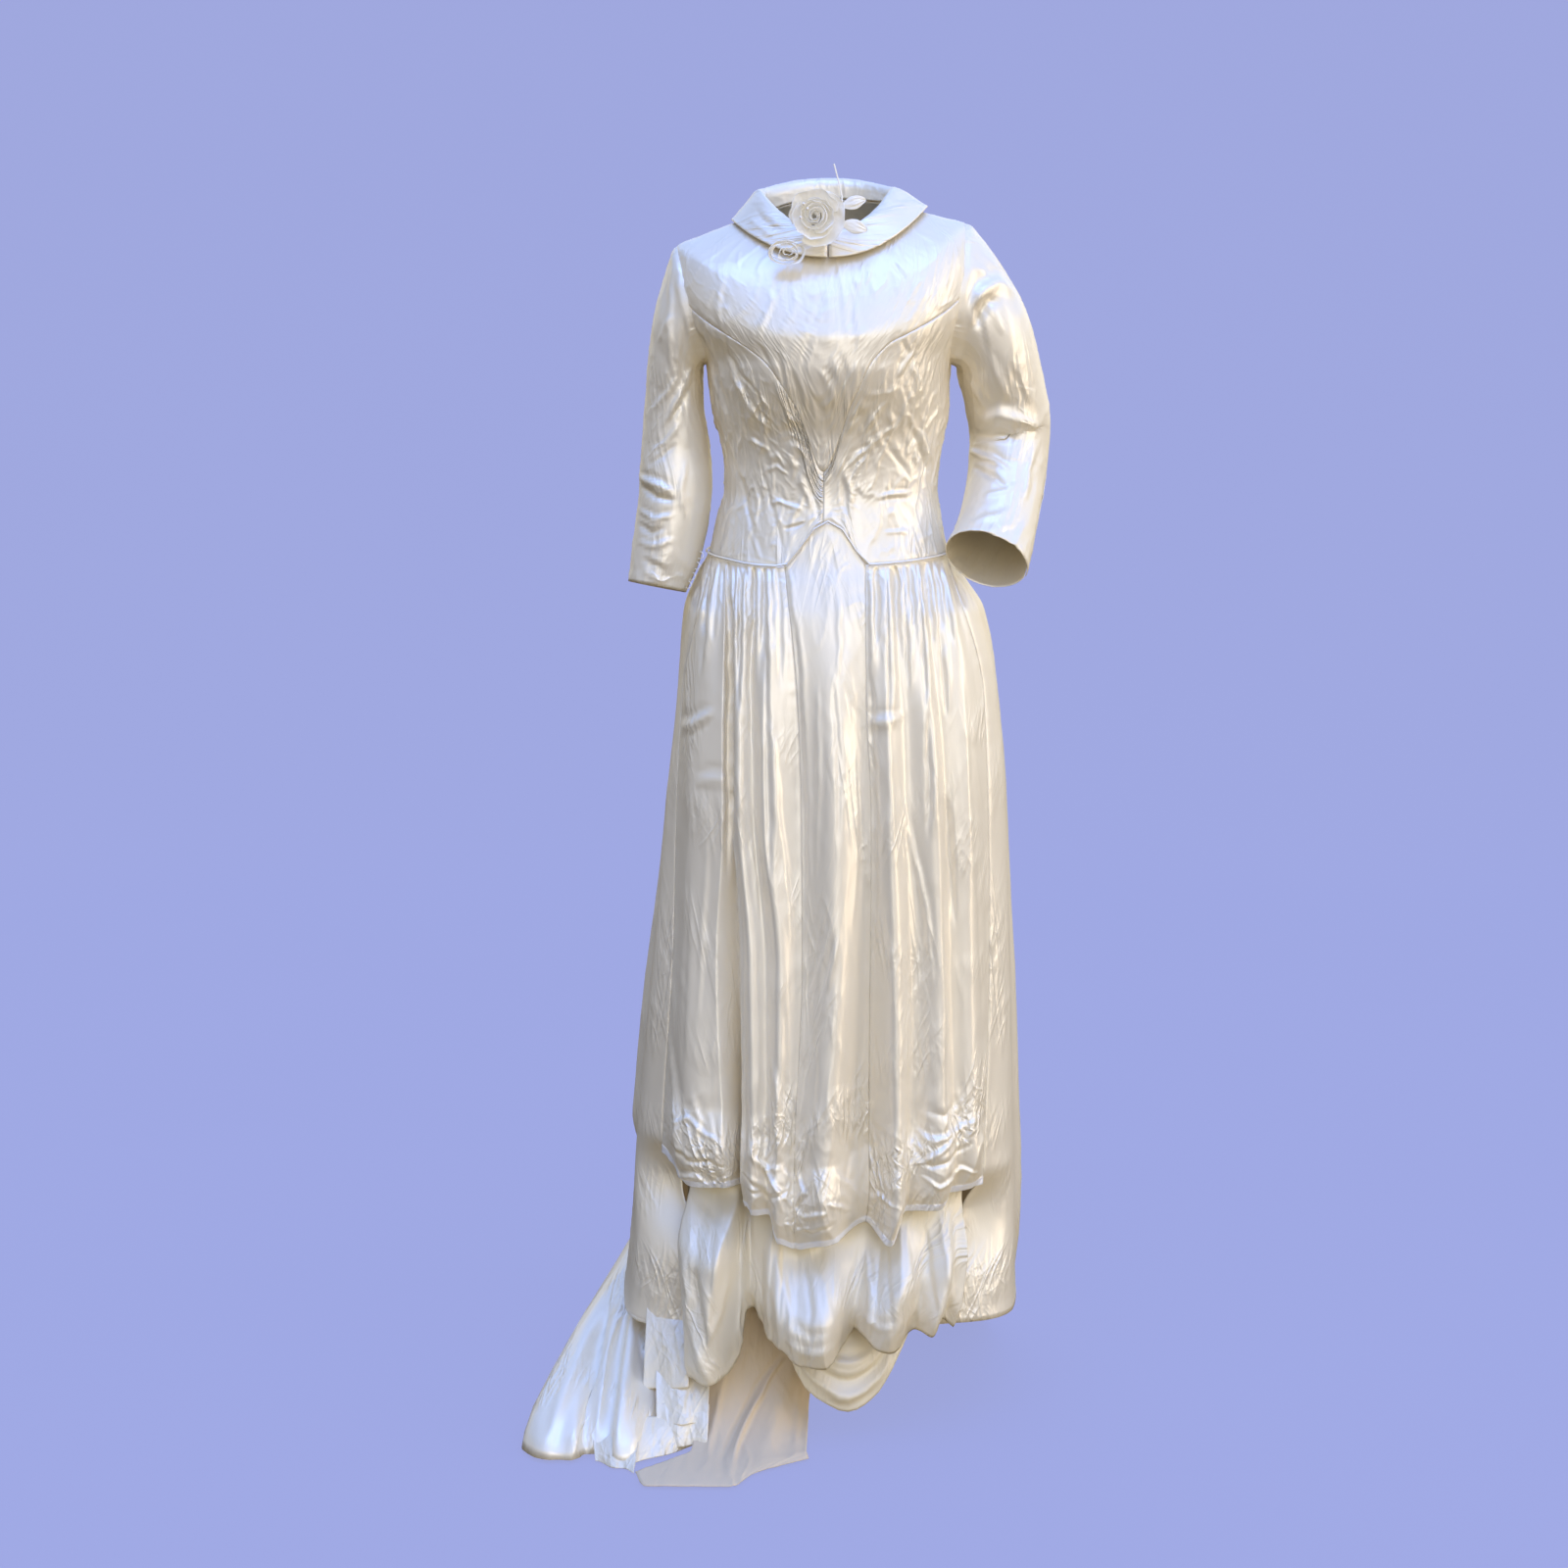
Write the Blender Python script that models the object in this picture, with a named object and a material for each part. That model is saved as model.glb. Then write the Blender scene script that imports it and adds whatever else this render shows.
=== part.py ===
"""Evening gown of ivory satin, in the hollow form that it has when it is worn.

Metres, +Z up. The origin lies in the middle of the neck opening, level with the neck points, where
shoulders hold the gown. The front faces -Y and +X is the left side of whoever wears it. The floor is
at -GOWN_HEIGHT. Every piece of cloth is a wall of its own, cut along the real seams.
"""

import math

import bmesh
import bpy
import numpy as np

# Main sizes
GOWN_HEIGHT = 1.54
CLOTH = 0.002
ORGANZA = 0.001
SEAM_GAP = 0.0003
WAIST_GAP = 0.0015
CORNER = 2.2
FLOOR = -GOWN_HEIGHT
FLOOR_LIFT = 0.0045

# Rings of the shoulders and chest. Each one is tilted, so it has its own height at each side,
# at the front and at the back. "level" is its depth under the neck point.
# level, left, right, front, back, z_left, z_right, z_front, z_back
SHOULDER_RINGS = (
    (0.000, 0.080, 0.076, 0.072, 0.066, -0.006, 0.006, -0.046, 0.012),
    (0.030, 0.118, 0.112, 0.092, 0.086, -0.019, -0.004, -0.066, -0.008),
    (0.060, 0.158, 0.144, 0.108, 0.099, -0.034, -0.012, -0.090, -0.040),
    (0.085, 0.188, 0.171, 0.118, 0.106, -0.048, -0.020, -0.112, -0.070),
    (0.120, 0.195, 0.184, 0.128, 0.111, -0.088, -0.070, -0.138, -0.108),
    (0.150, 0.184, 0.176, 0.134, 0.113, -0.132, -0.122, -0.160, -0.142),
)

# Level rings of the body and skirt, by height
# z, left, right, front, back
LEVEL_RINGS = (
    (-0.190, 0.153, 0.154, 0.133, 0.111),
    (-0.215, 0.150, 0.152, 0.128, 0.107),
    (-0.250, 0.146, 0.151, 0.115, 0.099),
    (-0.280, 0.137, 0.146, 0.106, 0.092),
    (-0.320, 0.131, 0.140, 0.101, 0.087),
    (-0.345, 0.131, 0.138, 0.100, 0.087),
    (-0.385, 0.141, 0.143, 0.105, 0.092),
    (-0.430, 0.152, 0.154, 0.114, 0.103),
    (-0.460, 0.166, 0.172, 0.124, 0.116),
    (-0.500, 0.181, 0.197, 0.136, 0.132),
    (-0.600, 0.191, 0.216, 0.152, 0.155),
    (-0.725, 0.204, 0.227, 0.163, 0.172),
    (-0.854, 0.214, 0.230, 0.171, 0.188),
    (-0.984, 0.229, 0.235, 0.178, 0.205),
    (-1.116, 0.243, 0.240, 0.186, 0.225),
    (-1.250, 0.255, 0.245, 0.195, 0.250),
    (-1.344, 0.266, 0.246, 0.203, 0.275),
    (-1.424, 0.277, 0.248, 0.210, 0.300),
    (-1.540, 0.295, 0.250, 0.222, 0.340),
)

# Armhole, as an ellipse in ring angle and level round the side
ARMHOLE_LEVEL = 0.1375
ARMHOLE_HALF_LEVEL = 0.0525
ARMHOLE_HALF_ANGLE = 28.0
ARMHOLE_FRONT = 90.0 - ARMHOLE_HALF_ANGLE
ARM_TURNS = np.linspace(0, 90, 5)
BACK_LENGTH = 0.421

# Lower edge of the yoke, a V whose point lies just beside the centre
# angle, level
YOKE_SEAM = (
    (-62.0, 0.1375),
    (-39.0, 0.1600),
    (-14.0, 0.2400),
    (-2.0, 0.3200),
    (9.5, 0.2350),
    (26.0, 0.1580),
    (62.0, 0.1375),
)
YOKE_POINT = -2.0
# Columns of the bodice front between armhole and centre, as ring angles, and its rows
RIGHT_COLUMNS = (-50, -39, -26, -18.5, -14, -10, -5)
LEFT_COLUMNS = (5, 9.5, 12.5, 16, 26, 38, 50)
YOKE_ROWS = 6
SIDE_FRONT_ROWS = 8
# Rows of the bodice back above and below the armhole, as levels
BACK_ABOVE = (0.0, 0.035, 0.062)
BACK_BELOW = (0.23, 0.28, 0.33, 0.38, BACK_LENGTH)

# Waist seam: low at the sides, lowest beside the notch, which rises at the centre front
# angle, level
WAIST_SEAM = (
    (-180.0, 0.418),
    (-90.0, 0.424),
    (-57.0, 0.428),
    (-26.0, 0.434),
    (-18.5, 0.434),
    (-14.0, 0.422),
    (-10.0, 0.406),
    (-5.0, 0.388),
    (0.0, 0.380),
    (5.0, 0.388),
    (9.5, 0.406),
    (12.5, 0.421),
    (16.0, 0.432),
    (26.0, 0.431),
    (55.0, 0.427),
    (90.0, 0.423),
    (180.0, 0.418),
)

# Fold lines of the skirt front, from the seam with one side panel to the other. Each line is given
# by its x at six heights; the last height is the hem of the lower tier.
LINE_HEIGHTS = (-0.43, -0.60, -0.75, -0.92, -1.20, -1.42)
FOLD_LINES = (
    ("right edge", -0.1470, -0.1835, -0.1925, -0.1970, -0.2125, -0.1823),
    ("right flare", -0.1370, -0.1595, -0.1625, -0.1657, -0.1647, -0.1712),
    ("flare edge", -0.1280, -0.1290, -0.1285, -0.1367, -0.1257, -0.1441),
    ("deep valley", -0.1215, -0.1223, -0.1203, -0.1222, -0.1159, -0.1182),
    ("valley edge", -0.1135, -0.1145, -0.1140, -0.1065, -0.1074, -0.1071),
    ("outer ridge", -0.1022, -0.1055, -0.1047, -0.0932, -0.0903, -0.0936),
    ("small valley", -0.0890, -0.0923, -0.0927, -0.0774, -0.0756, -0.0764),
    ("inner ridge", -0.0746, -0.0767, -0.0746, -0.0581, -0.0610, -0.0591),
    ("centre seam, right", -0.0541, -0.0384, -0.0337, -0.0327, -0.0427, -0.0369),
    ("centre", -0.0036, 0.0060, 0.0096, 0.0097, -0.0061, -0.0062),
    ("centre seam, left", 0.0457, 0.0480, 0.0554, 0.0556, 0.0561, 0.0283),
    ("inner ridge, left", 0.0661, 0.0719, 0.0758, 0.0811, 0.0842, 0.0456),
    ("valley, left", 0.0854, 0.0959, 0.1023, 0.1125, 0.1049, 0.0702),
    ("ridge, left", 0.1046, 0.1200, 0.1324, 0.1367, 0.1379, 0.1096),
    ("outer valley, left", 0.1203, 0.1403, 0.1504, 0.1561, 0.1623, 0.1281),
    ("outer ridge, left", 0.1335, 0.1643, 0.1720, 0.1766, 0.1781, 0.1478),
    ("left edge", 0.1490, 0.1960, 0.2020, 0.2050, 0.1980, 0.1798),
)
CENTRE_PANEL_LINES = (8, 10)

# How far each fold line stands out of the ring: the front at three heights, then the lower tier at
# its hem. After that, the height of the front's hem.
# waist, middle, front hem, tier hem, z of front hem
FOLD_DEPTHS = (
    (0.000, 0.000, 0.000, -0.004, -1.182),
    (0.002, 0.010, 0.020, 0.020, -1.210),
    (0.000, 0.006, 0.012, 0.032, -1.207),
    (-0.003, -0.015, -0.044, -0.018, -1.213),
    (0.000, 0.004, -0.004, -0.034, -1.234),
    (0.002, 0.010, 0.014, -0.030, -1.239),
    (-0.002, -0.004, 0.002, -0.010, -1.240),
    (0.002, 0.010, 0.016, 0.014, -1.272),
    (0.000, -0.009, 0.000, 0.026, -1.283),
    (0.001, 0.008, 0.022, 0.034, -1.272),
    (0.000, -0.014, -0.034, -0.026, -1.260),
    (0.003, 0.008, 0.014, 0.010, -1.277),
    (-0.002, -0.008, -0.010, 0.022, -1.241),
    (0.003, 0.008, 0.014, -0.010, -1.238),
    (-0.002, -0.006, -0.004, 0.012, -1.224),
    (0.002, 0.006, 0.008, -0.008, -1.221),
    (0.000, 0.000, 0.000, 0.002, -1.220),
)
DEPTH_HEIGHTS = (-0.43, -0.75, -1.20)
GATHER = 0.0038
HEM_PUFF = 0.007
TIER_TOP = -1.13
TIER_PUFF = 0.012
TIER_ENDS = 0.45
# Hem of the tier: rounded ends of its folds, and the steps up between them
# place, z
TIER_HEM = (
    (0.0, -1.400),
    (0.5, -1.446),
    (1.2, -1.455),
    (1.9, -1.457),
    (2.6, -1.448),
    (2.95, -1.425),
    (3.4, -1.374),
    (4.0, -1.374),
    (5.0, -1.390),
    (6.0, -1.407),
    (7.0, -1.409),
    (7.6, -1.419),
    (8.3, -1.425),
    (9.1, -1.425),
    (9.7, -1.413),
    (10.3, -1.393),
    (10.8, -1.396),
    (11.5, -1.409),
    (12.4, -1.413),
    (12.9, -1.400),
    (13.3, -1.396),
    (14.0, -1.402),
    (14.5, -1.399),
    (15.0, -1.388),
    (15.5, -1.399),
    (16.0, -1.414),
)
# place, how far the tier stands out of the ring behind the front
TIER_HIDDEN = (
    (0.0, -0.024),
    (1.6, -0.034),
    (3.0, -0.060),
    (4.4, -0.034),
    (8.5, -0.030),
    (10.0, -0.048),
    (11.5, -0.030),
    (16.0, -0.024),
)

# Side panels: the angle of the back edge and the height of the hem, from front edge to back edge
# share, hem of the right panel, hem of the left panel
SIDE_HEMS = (
    (0.0, -1.400, -1.400),
    (0.5, -1.408, -1.404),
    (0.8, -1.402, -1.405),
    (1.0, -1.375, -1.405),
)
SIDE_SEAM = 88.0
SIDE_SEAM_LOW = 81.0
SIDE_SEAM_FREE = -1.17
SIDE_TUCK = 0.032
SIDE_TUCK_EARLY = 0.020
SIDE_BEHIND = 1.1

# Back panels and train: each line goes down a ring angle, then fans out to its own hem point
# angle, z where it leaves the ring, hem x, hem y, hem height over the floor
TRAIN_LINES = (
    (-88.0, -1.20, -0.166, -0.128, 0.060),
    (-90.5, -1.21, -0.190, -0.162, 0.030),
    (-93.5, -1.22, -0.206, -0.190, 0.004),
    (-97.0, -1.23, -0.228, -0.226, 0.000),
    (-101.0, -1.24, -0.258, -0.264, 0.000),
    (-105.5, -1.23, -0.290, -0.232, 0.000),
    (-110.0, -1.23, -0.322, -0.254, 0.000),
    (-114.0, -1.23, -0.354, -0.250, 0.000),
    (-118.0, -1.23, -0.385, -0.208, 0.000),
    (-122.5, -1.22, -0.372, -0.095, 0.000),
    (-127.5, -1.21, -0.345, 0.030, 0.000),
    (-135.0, -1.20, -0.316, 0.165, 0.000),
    (-144.0, -1.18, -0.284, 0.305, 0.000),
    (-155.0, -1.16, -0.216, 0.415, 0.000),
    (-167.0, -1.15, -0.110, 0.485, 0.000),
    (-180.0, -1.15, 0.000, 0.485, 0.000),
)
BACK_LINES = (
    (88.0, -1.30, 0.242, 0.004, 0.133),
    (98.0, -1.25, 0.250, 0.075, 0.100),
    (109.0, -1.20, 0.238, 0.160, 0.040),
    (121.0, -1.18, 0.226, 0.235, 0.008),
    (134.0, -1.16, 0.190, 0.330, 0.000),
    (149.0, -1.15, 0.150, 0.420, 0.000),
    (165.0, -1.15, 0.080, 0.485, 0.000),
    (180.0, -1.15, 0.000, 0.485, 0.000),
)
BACK_FOLD = 0.012
BACK_FOLDS = 3
BACK_GATHERS = 6
TRAIN_TUCK = 0.018

# Heights at which all skirt panels have a row, so that they meet corner to corner along their seams
ROW_HEIGHTS = (-0.441, -0.460, -0.495, -0.55, -0.63, -0.73, -0.85, -0.98, -1.11)
UPPER_SHARE = 0.72
# Rows of the panels below the shared ones, and of the pieces that have none of those
FRONT_LOWER_ROWS = (0.82, 0.91, 1)
BACK_LOWER_ROWS = (0.77, 0.82, 0.86, 0.895, 0.93, 0.965, 1)
TIER_ROWS = (0, 0.18, 0.36, 0.54, 0.72, 0.88, 1)
UNDER_ROWS = (0, 0.08, 0.20, 0.40, 0.62, 0.82, 0.93, 1)
LINING_ROWS = (0, 0.18, 0.36, 0.54, 0.66, 0.74, 0.87, 1)
# Columns of the centre panel, as ring angles at the waist seam, and of the deep valley, as places
NOTCH_ANGLES = (-14, -10, -5, YOKE_POINT, 5, 9.5, 12.5)
VALLEY_COLUMNS = (2.5, 3, 3.5)

# Underskirt: how far it lies inside the ring, and its hem with the swag at the front
UNDERSKIRT_INSIDE = 0.064
SWAG_OUT = 0.030
# angle, z of the hem
UNDERSKIRT_HEM = (
    (-70.0, -1.340),
    (-38.0, -1.345),
    (-22.0, -1.375),
    (-12.0, -1.420),
    (-4.0, -1.480),
    (5.0, -1.504),
    (14.0, -1.488),
    (24.0, -1.440),
    (38.0, -1.385),
    (70.0, -1.340),
)
UNDERSKIRT_TOP = -0.450

# Train lining: it hangs from inside the tier, turns at the floor and lies on it
# top x, y and z, knee x and y, hem x and y
LINING_LINES = (
    (-0.132, -0.104, -1.300, -0.172, -0.236, -0.238, -0.286),
    (-0.112, -0.116, -1.350, -0.146, -0.254, -0.222, -0.327),
    (-0.088, -0.112, -1.400, -0.112, -0.260, -0.122, -0.329),
    (-0.058, -0.112, -1.440, -0.072, -0.256, -0.090, -0.290),
    (-0.022, -0.110, -1.500, -0.027, -0.233, -0.024, -0.246),
)
LINING_KNEE = 0.72

# Sleeves, along the arm: place, middle x, y and z, lean of the outer side from upright in degrees,
# half width across, half width from front to back
RIGHT_SLEEVE = (
    (0.00, -0.182, 0.000, -0.119, 13.6, 0.0730, 0.065),
    (0.12, -0.184, 0.000, -0.149, 27.5, 0.0547, 0.063),
    (0.25, -0.189, 0.002, -0.188, 49.0, 0.0427, 0.058),
    (0.40, -0.192, 0.004, -0.234, 62.8, 0.0405, 0.055),
    (0.55, -0.1915, 0.004, -0.290, 80.6, 0.0430, 0.054),
    (0.70, -0.192, 0.000, -0.344, 88.8, 0.0463, 0.056),
    (0.80, -0.196, -0.004, -0.382, 88.0, 0.0460, 0.055),
    (0.90, -0.204, -0.010, -0.426, 84.0, 0.0440, 0.052),
    (1.00, -0.216, -0.016, -0.469, 79.0, 0.0365, 0.046),
)
LEFT_SLEEVE = (
    (0.00, 0.176, 0.000, -0.105, 5.6, 0.0854, 0.058),
    (0.12, 0.194, 0.002, -0.138, 25.8, 0.0665, 0.060),
    (0.25, 0.2105, 0.012, -0.183, 52.2, 0.0565, 0.062),
    (0.40, 0.2215, 0.022, -0.224, 64.4, 0.0530, 0.060),
    (0.55, 0.2305, 0.032, -0.278, 76.0, 0.0525, 0.058),
    (0.68, 0.227, 0.018, -0.329, 91.0, 0.0498, 0.057),
    (0.80, 0.218, -0.012, -0.370, 99.4, 0.0490, 0.054),
    (0.90, 0.208, -0.042, -0.402, 107.0, 0.0500, 0.050),
    (1.00, 0.196, -0.075, -0.429, 113.6, 0.0525, 0.045),
)
SLEEVE_GAP = 0.0022
SLEEVE_BLEND = 0.20
SLEEVE_COLUMNS = 16
SLEEVE_ROWS = (0, 0.05, 0.11, 0.18, 0.25, 0.34, 0.44, 0.54, 0.64, 0.74, 0.83, 0.92, 1)

# Collar, from the neckline up the stand, over the fold and down the fall
# left, right, front, back, z_left, z_right, z_front, z_back
COLLAR_ROWS = (
    (0.0785, 0.0745, 0.0705, 0.0645, -0.0045, 0.0075, -0.0440, 0.0135),
    (0.0785, 0.0745, 0.0735, 0.0645, 0.0090, 0.0160, -0.0370, 0.0270),
    (0.0810, 0.0770, 0.0785, 0.0680, 0.0190, 0.0225, -0.0310, 0.0370),
    (0.0855, 0.0815, 0.0835, 0.0735, 0.0225, 0.0250, -0.0290, 0.0395),
    (0.0905, 0.0865, 0.0880, 0.0785, 0.0195, 0.0235, -0.0310, 0.0365),
    (0.1000, 0.0985, 0.0930, 0.0870, 0.0080, 0.0175, -0.0400, 0.0240),
    (0.1110, 0.1120, 0.0970, 0.0950, -0.0045, 0.0095, -0.0510, 0.0080),
    (0.1200, 0.1235, 0.1000, 0.1010, -0.0150, 0.0015, -0.0620, -0.0060),
)
COLLAR_ENDS = (2.0, 358.0)

# Piping in the waist seam
PIPING_RADIUS = 0.0016
PIPING_OUT = 0.0034
PIPING_POINTS = 64

# Rose at the front of the collar; it faces forward
ROSE_CENTRE = (-0.016, -0.014)
ROSE_BACK = -0.1065
# start angle, span, radius at the rim, depth
PETALS = (
    (200.0, 215.0, 0.0180, 0.0270),
    (335.0, 205.0, 0.0225, 0.0250),
    (115.0, 200.0, 0.0270, 0.0230),
    (250.0, 190.0, 0.0318, 0.0205),
    (25.0, 185.0, 0.0368, 0.0180),
)
CORE_RADIUS = 0.0118
CORE_DEPTH = 0.030
BUD_CENTRE = (-0.050, -0.112, -0.057)
BUD_HALF = (0.0190, 0.0125)
# base x and z, tip x and z, half width
LEAVES = ((0.017, -0.022, 0.047, -0.030, 0.0085), (0.017, -0.002, 0.045, 0.006, 0.0080))
LEAF_Y = -0.1125
STEM_POINTS = (
    (0.0170, -0.1050, -0.0020),
    (0.0165, -0.1062, 0.0100),
    (0.0140, -0.1075, 0.0220),
    (0.0105, -0.1090, 0.0350),
    (0.0070, -0.1100, 0.0480),
)
STEM_RADIUS = 0.0010

# Thread loops at the slit of the right cuff
LOOP_PLACES = (0.900, 0.928, 0.956, 0.980)
LOOP_RADIUS = 0.0046
LOOP_THREAD = 0.0006
LOOP_STEPS = 8
LOOP_OFF = 0.0012
LOOP_TURN = 0.44

# Colours are linear
SATIN = (0.78, 0.73, 0.60, 1.0)
SHADED_SATIN = (0.70, 0.66, 0.55, 1.0)
MATTE = (0.80, 0.74, 0.64, 1.0)
ORGANZA_WHITE = (0.86, 0.84, 0.78, 1.0)
THREAD = (0.88, 0.88, 0.86, 1.0)


def curve(knots, values, at):
    """A smooth line through the given points that never swings past them."""
    x = np.asarray(knots, float)
    y = np.asarray(values, float)
    at = np.clip(at, x[0], x[-1])
    steps = np.diff(x)
    slopes = np.diff(y) / steps
    bend = np.zeros(len(x))
    same = slopes[:-1] * slopes[1:] > 0
    mean = 2 * slopes[:-1] * slopes[1:] / np.where(same, slopes[:-1] + slopes[1:], 1)
    bend[1:-1] = np.where(same, mean, 0)
    bend[0], bend[-1] = slopes[0], slopes[-1]
    k = np.clip(np.searchsorted(x, at, side="right") - 1, 0, len(steps) - 1)
    t = (at - x[k]) / steps[k]
    h = steps[k]
    start = y[k] * (1 + 2 * t) * (1 - t) ** 2 + h * bend[k] * t * (1 - t) ** 2
    end = y[k + 1] * (3 - 2 * t) * t**2 + h * bend[k + 1] * (t - 1) * t**2
    return start + end


def smooth(t):
    t = np.clip(t, 0, 1)
    return t * t * (3 - 2 * t)


def all_rings():
    level_rows = [(-z, a, b, c, d, z, z, z, z) for z, a, b, c, d in LEVEL_RINGS]
    return np.array(list(SHOULDER_RINGS) + level_rows)


RINGS = all_rings()


def ring(angle, sizes, out=0.0):
    """A point of a rounded ring. sizes are its four half widths and its four heights."""
    left, right, front, back, z_left, z_right, z_front, z_back = sizes
    s, c = np.sin(angle), np.cos(angle)
    wide = np.where(s < 0, left, right)
    deep = np.where(c < 0, back, front)
    x = wide * np.sign(s) * np.abs(s) ** (2 / CORNER)
    y = -deep * np.sign(c) * np.abs(c) ** (2 / CORNER)
    nx = np.sign(s) * np.abs(s) ** (2 - 2 / CORNER) / wide
    ny = -np.sign(c) * np.abs(c) ** (2 - 2 / CORNER) / deep
    size = np.hypot(nx, ny)
    z_side = np.where(s < 0, z_left, z_right)
    z_middle = np.where(c < 0, z_back, z_front)
    z = z_side + (z_middle - z_side) * c**2
    return np.stack([x + out * nx / size, y + out * ny / size, z], axis=-1)


def body(angle, level, out=0.0):
    """A point on the form that the whole gown follows."""
    sizes = [curve(RINGS[:, 0], RINGS[:, k], level) for k in range(1, 9)]
    return ring(angle, sizes, out)


def angle_at(x, level):
    """The ring angle whose point has this x on the front half."""
    left = curve(RINGS[:, 0], RINGS[:, 1], level)
    right = curve(RINGS[:, 0], RINGS[:, 2], level)
    half = np.where(x < 0, left, right)
    share = np.clip(np.abs(x) / half, 0, 0.9999)
    return np.sign(x) * np.arcsin(share ** (CORNER / 2))


def column(table, k):
    return [row[k] for row in table]


def waist_level(angle):
    return curve(column(WAIST_SEAM, 0), column(WAIST_SEAM, 1), np.degrees(angle))


def armhole_reach(angle):
    """Half the armhole's height at a ring angle, as a share of ARMHOLE_HALF_LEVEL."""
    aside = (90 - np.abs(np.degrees(angle))) / ARMHOLE_HALF_ANGLE
    return np.sqrt(np.clip(1 - aside**2, 0, 1))


def yoke(u, v):
    """u runs over ring angles in degrees and v from the neckline to the lower edge."""
    seam = curve(column(YOKE_SEAM, 0), column(YOKE_SEAM, 1), u)
    armhole = ARMHOLE_LEVEL - ARMHOLE_HALF_LEVEL * armhole_reach(np.radians(u))
    return np.radians(u), v * np.where(np.abs(u) < ARMHOLE_FRONT, seam, armhole)


def side_front(u, v):
    seam = curve(column(YOKE_SEAM, 0), column(YOKE_SEAM, 1), u)
    armhole = ARMHOLE_LEVEL + ARMHOLE_HALF_LEVEL * armhole_reach(np.radians(u))
    top = np.where(np.abs(u) < ARMHOLE_FRONT, seam, armhole)
    return np.radians(u), top + (waist_level(np.radians(u)) - top) * v


def bodice_back(side):
    def place(u, v):
        aside = (v * BACK_LENGTH - ARMHOLE_LEVEL) / ARMHOLE_HALF_LEVEL
        edge = 90 + ARMHOLE_HALF_ANGLE * np.sqrt(np.clip(1 - aside**2, 0, 1))
        angle = side * np.radians(edge + (180 - edge) * u)
        return angle, v * BACK_LENGTH + (waist_level(angle) - BACK_LENGTH) * v**6

    return place


def on_body(place):
    """A panel's form and its outward normal, from its places (ring angle and level) on the body."""

    def form(u, v):
        return body(*place(u, v))

    def normal(u, v):
        angle, level = place(u, v)
        along = body(angle + 1e-3, level) - body(angle - 1e-3, level)
        down = body(angle, level + 1e-4) - body(angle, level - 1e-4)
        return unit(np.cross(down, along))

    return form, normal


def unit(vectors):
    return vectors / np.maximum(np.linalg.norm(vectors, axis=-1, keepdims=True), 1e-12)


def between_lines(table, k, place):
    """The table's column k read at a place between its rows, straight from row to row."""
    return np.interp(place, np.arange(len(table)), column(table, k))


def eased(place):
    """The same place, but dwelling at each line, so that folds come out rounded."""
    whole = np.clip(np.floor(place), 0, len(FOLD_LINES) - 2)
    part = np.clip(place - whole, 0, 1)
    return whole + (1 - np.cos(math.pi * part)) / 2


def row_z(v, top, hem):
    """Height of a place on a panel: the shared rows first, then straight on to its own hem."""
    k = np.clip(v / UPPER_SHARE, -0.1, 1) * len(ROW_HEIGHTS)
    first = top + (ROW_HEIGHTS[0] - top) * k
    upper = np.interp(k, np.arange(1, len(ROW_HEIGHTS) + 1), ROW_HEIGHTS)
    lower = ROW_HEIGHTS[-1] + (hem - ROW_HEIGHTS[-1]) * (v - UPPER_SHARE) / (1 - UPPER_SHARE)
    return np.where(v > UPPER_SHARE, lower, np.where(k < 1, first, upper))


def line_x(place, z):
    """x of a place between fold lines, at a height."""
    sides = [curve([-h for h in LINE_HEIGHTS], row[1:], -z) for row in FOLD_LINES]
    whole = np.clip(np.floor(place), 0, len(FOLD_LINES) - 2).astype(int)
    part = place - whole
    sides = np.array(sides)
    n = np.arange(len(place))
    return sides[whole, n] * (1 - part) + sides[whole + 1, n] * part


def front_depth(place, z):
    """How far the skirt front stands out of its ring."""
    at = eased(place)
    depths = [between_lines(FOLD_DEPTHS, k, at) for k in range(3)]
    first = smooth((DEPTH_HEIGHTS[0] - z) / (DEPTH_HEIGHTS[0] - DEPTH_HEIGHTS[1]))
    second = smooth((DEPTH_HEIGHTS[1] - z) / (DEPTH_HEIGHTS[1] - DEPTH_HEIGHTS[2]))
    return depths[0] + (depths[1] - depths[0]) * first + (depths[2] - depths[1]) * second


def gathers(place, z):
    """Small gathers, held flat in the waist seam and gone a hand's width under it."""
    under = -0.43 - z
    rise = smooth(under / 0.025) * (1 - smooth((under - 0.03) / 0.17))
    whole = np.clip(np.floor(place), 0, len(FOLD_LINES) - 2).astype(int)
    widths = np.diff(column(FOLD_LINES, 1))[whole]
    still = quiet_ends(place, (0, *CENTRE_PANEL_LINES, len(FOLD_LINES) - 1))
    return GATHER * np.clip(widths / 0.016, 0, 1) * rise * still * np.sin(2 * math.pi * place)


def quiet_ends(place, ends):
    """1 away from the given places and 0 at them, so that neighbours meet flush."""
    share = np.ones(len(place))
    for end in ends:
        share = share * smooth(np.abs(place - end) / 0.6)
    return share


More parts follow.
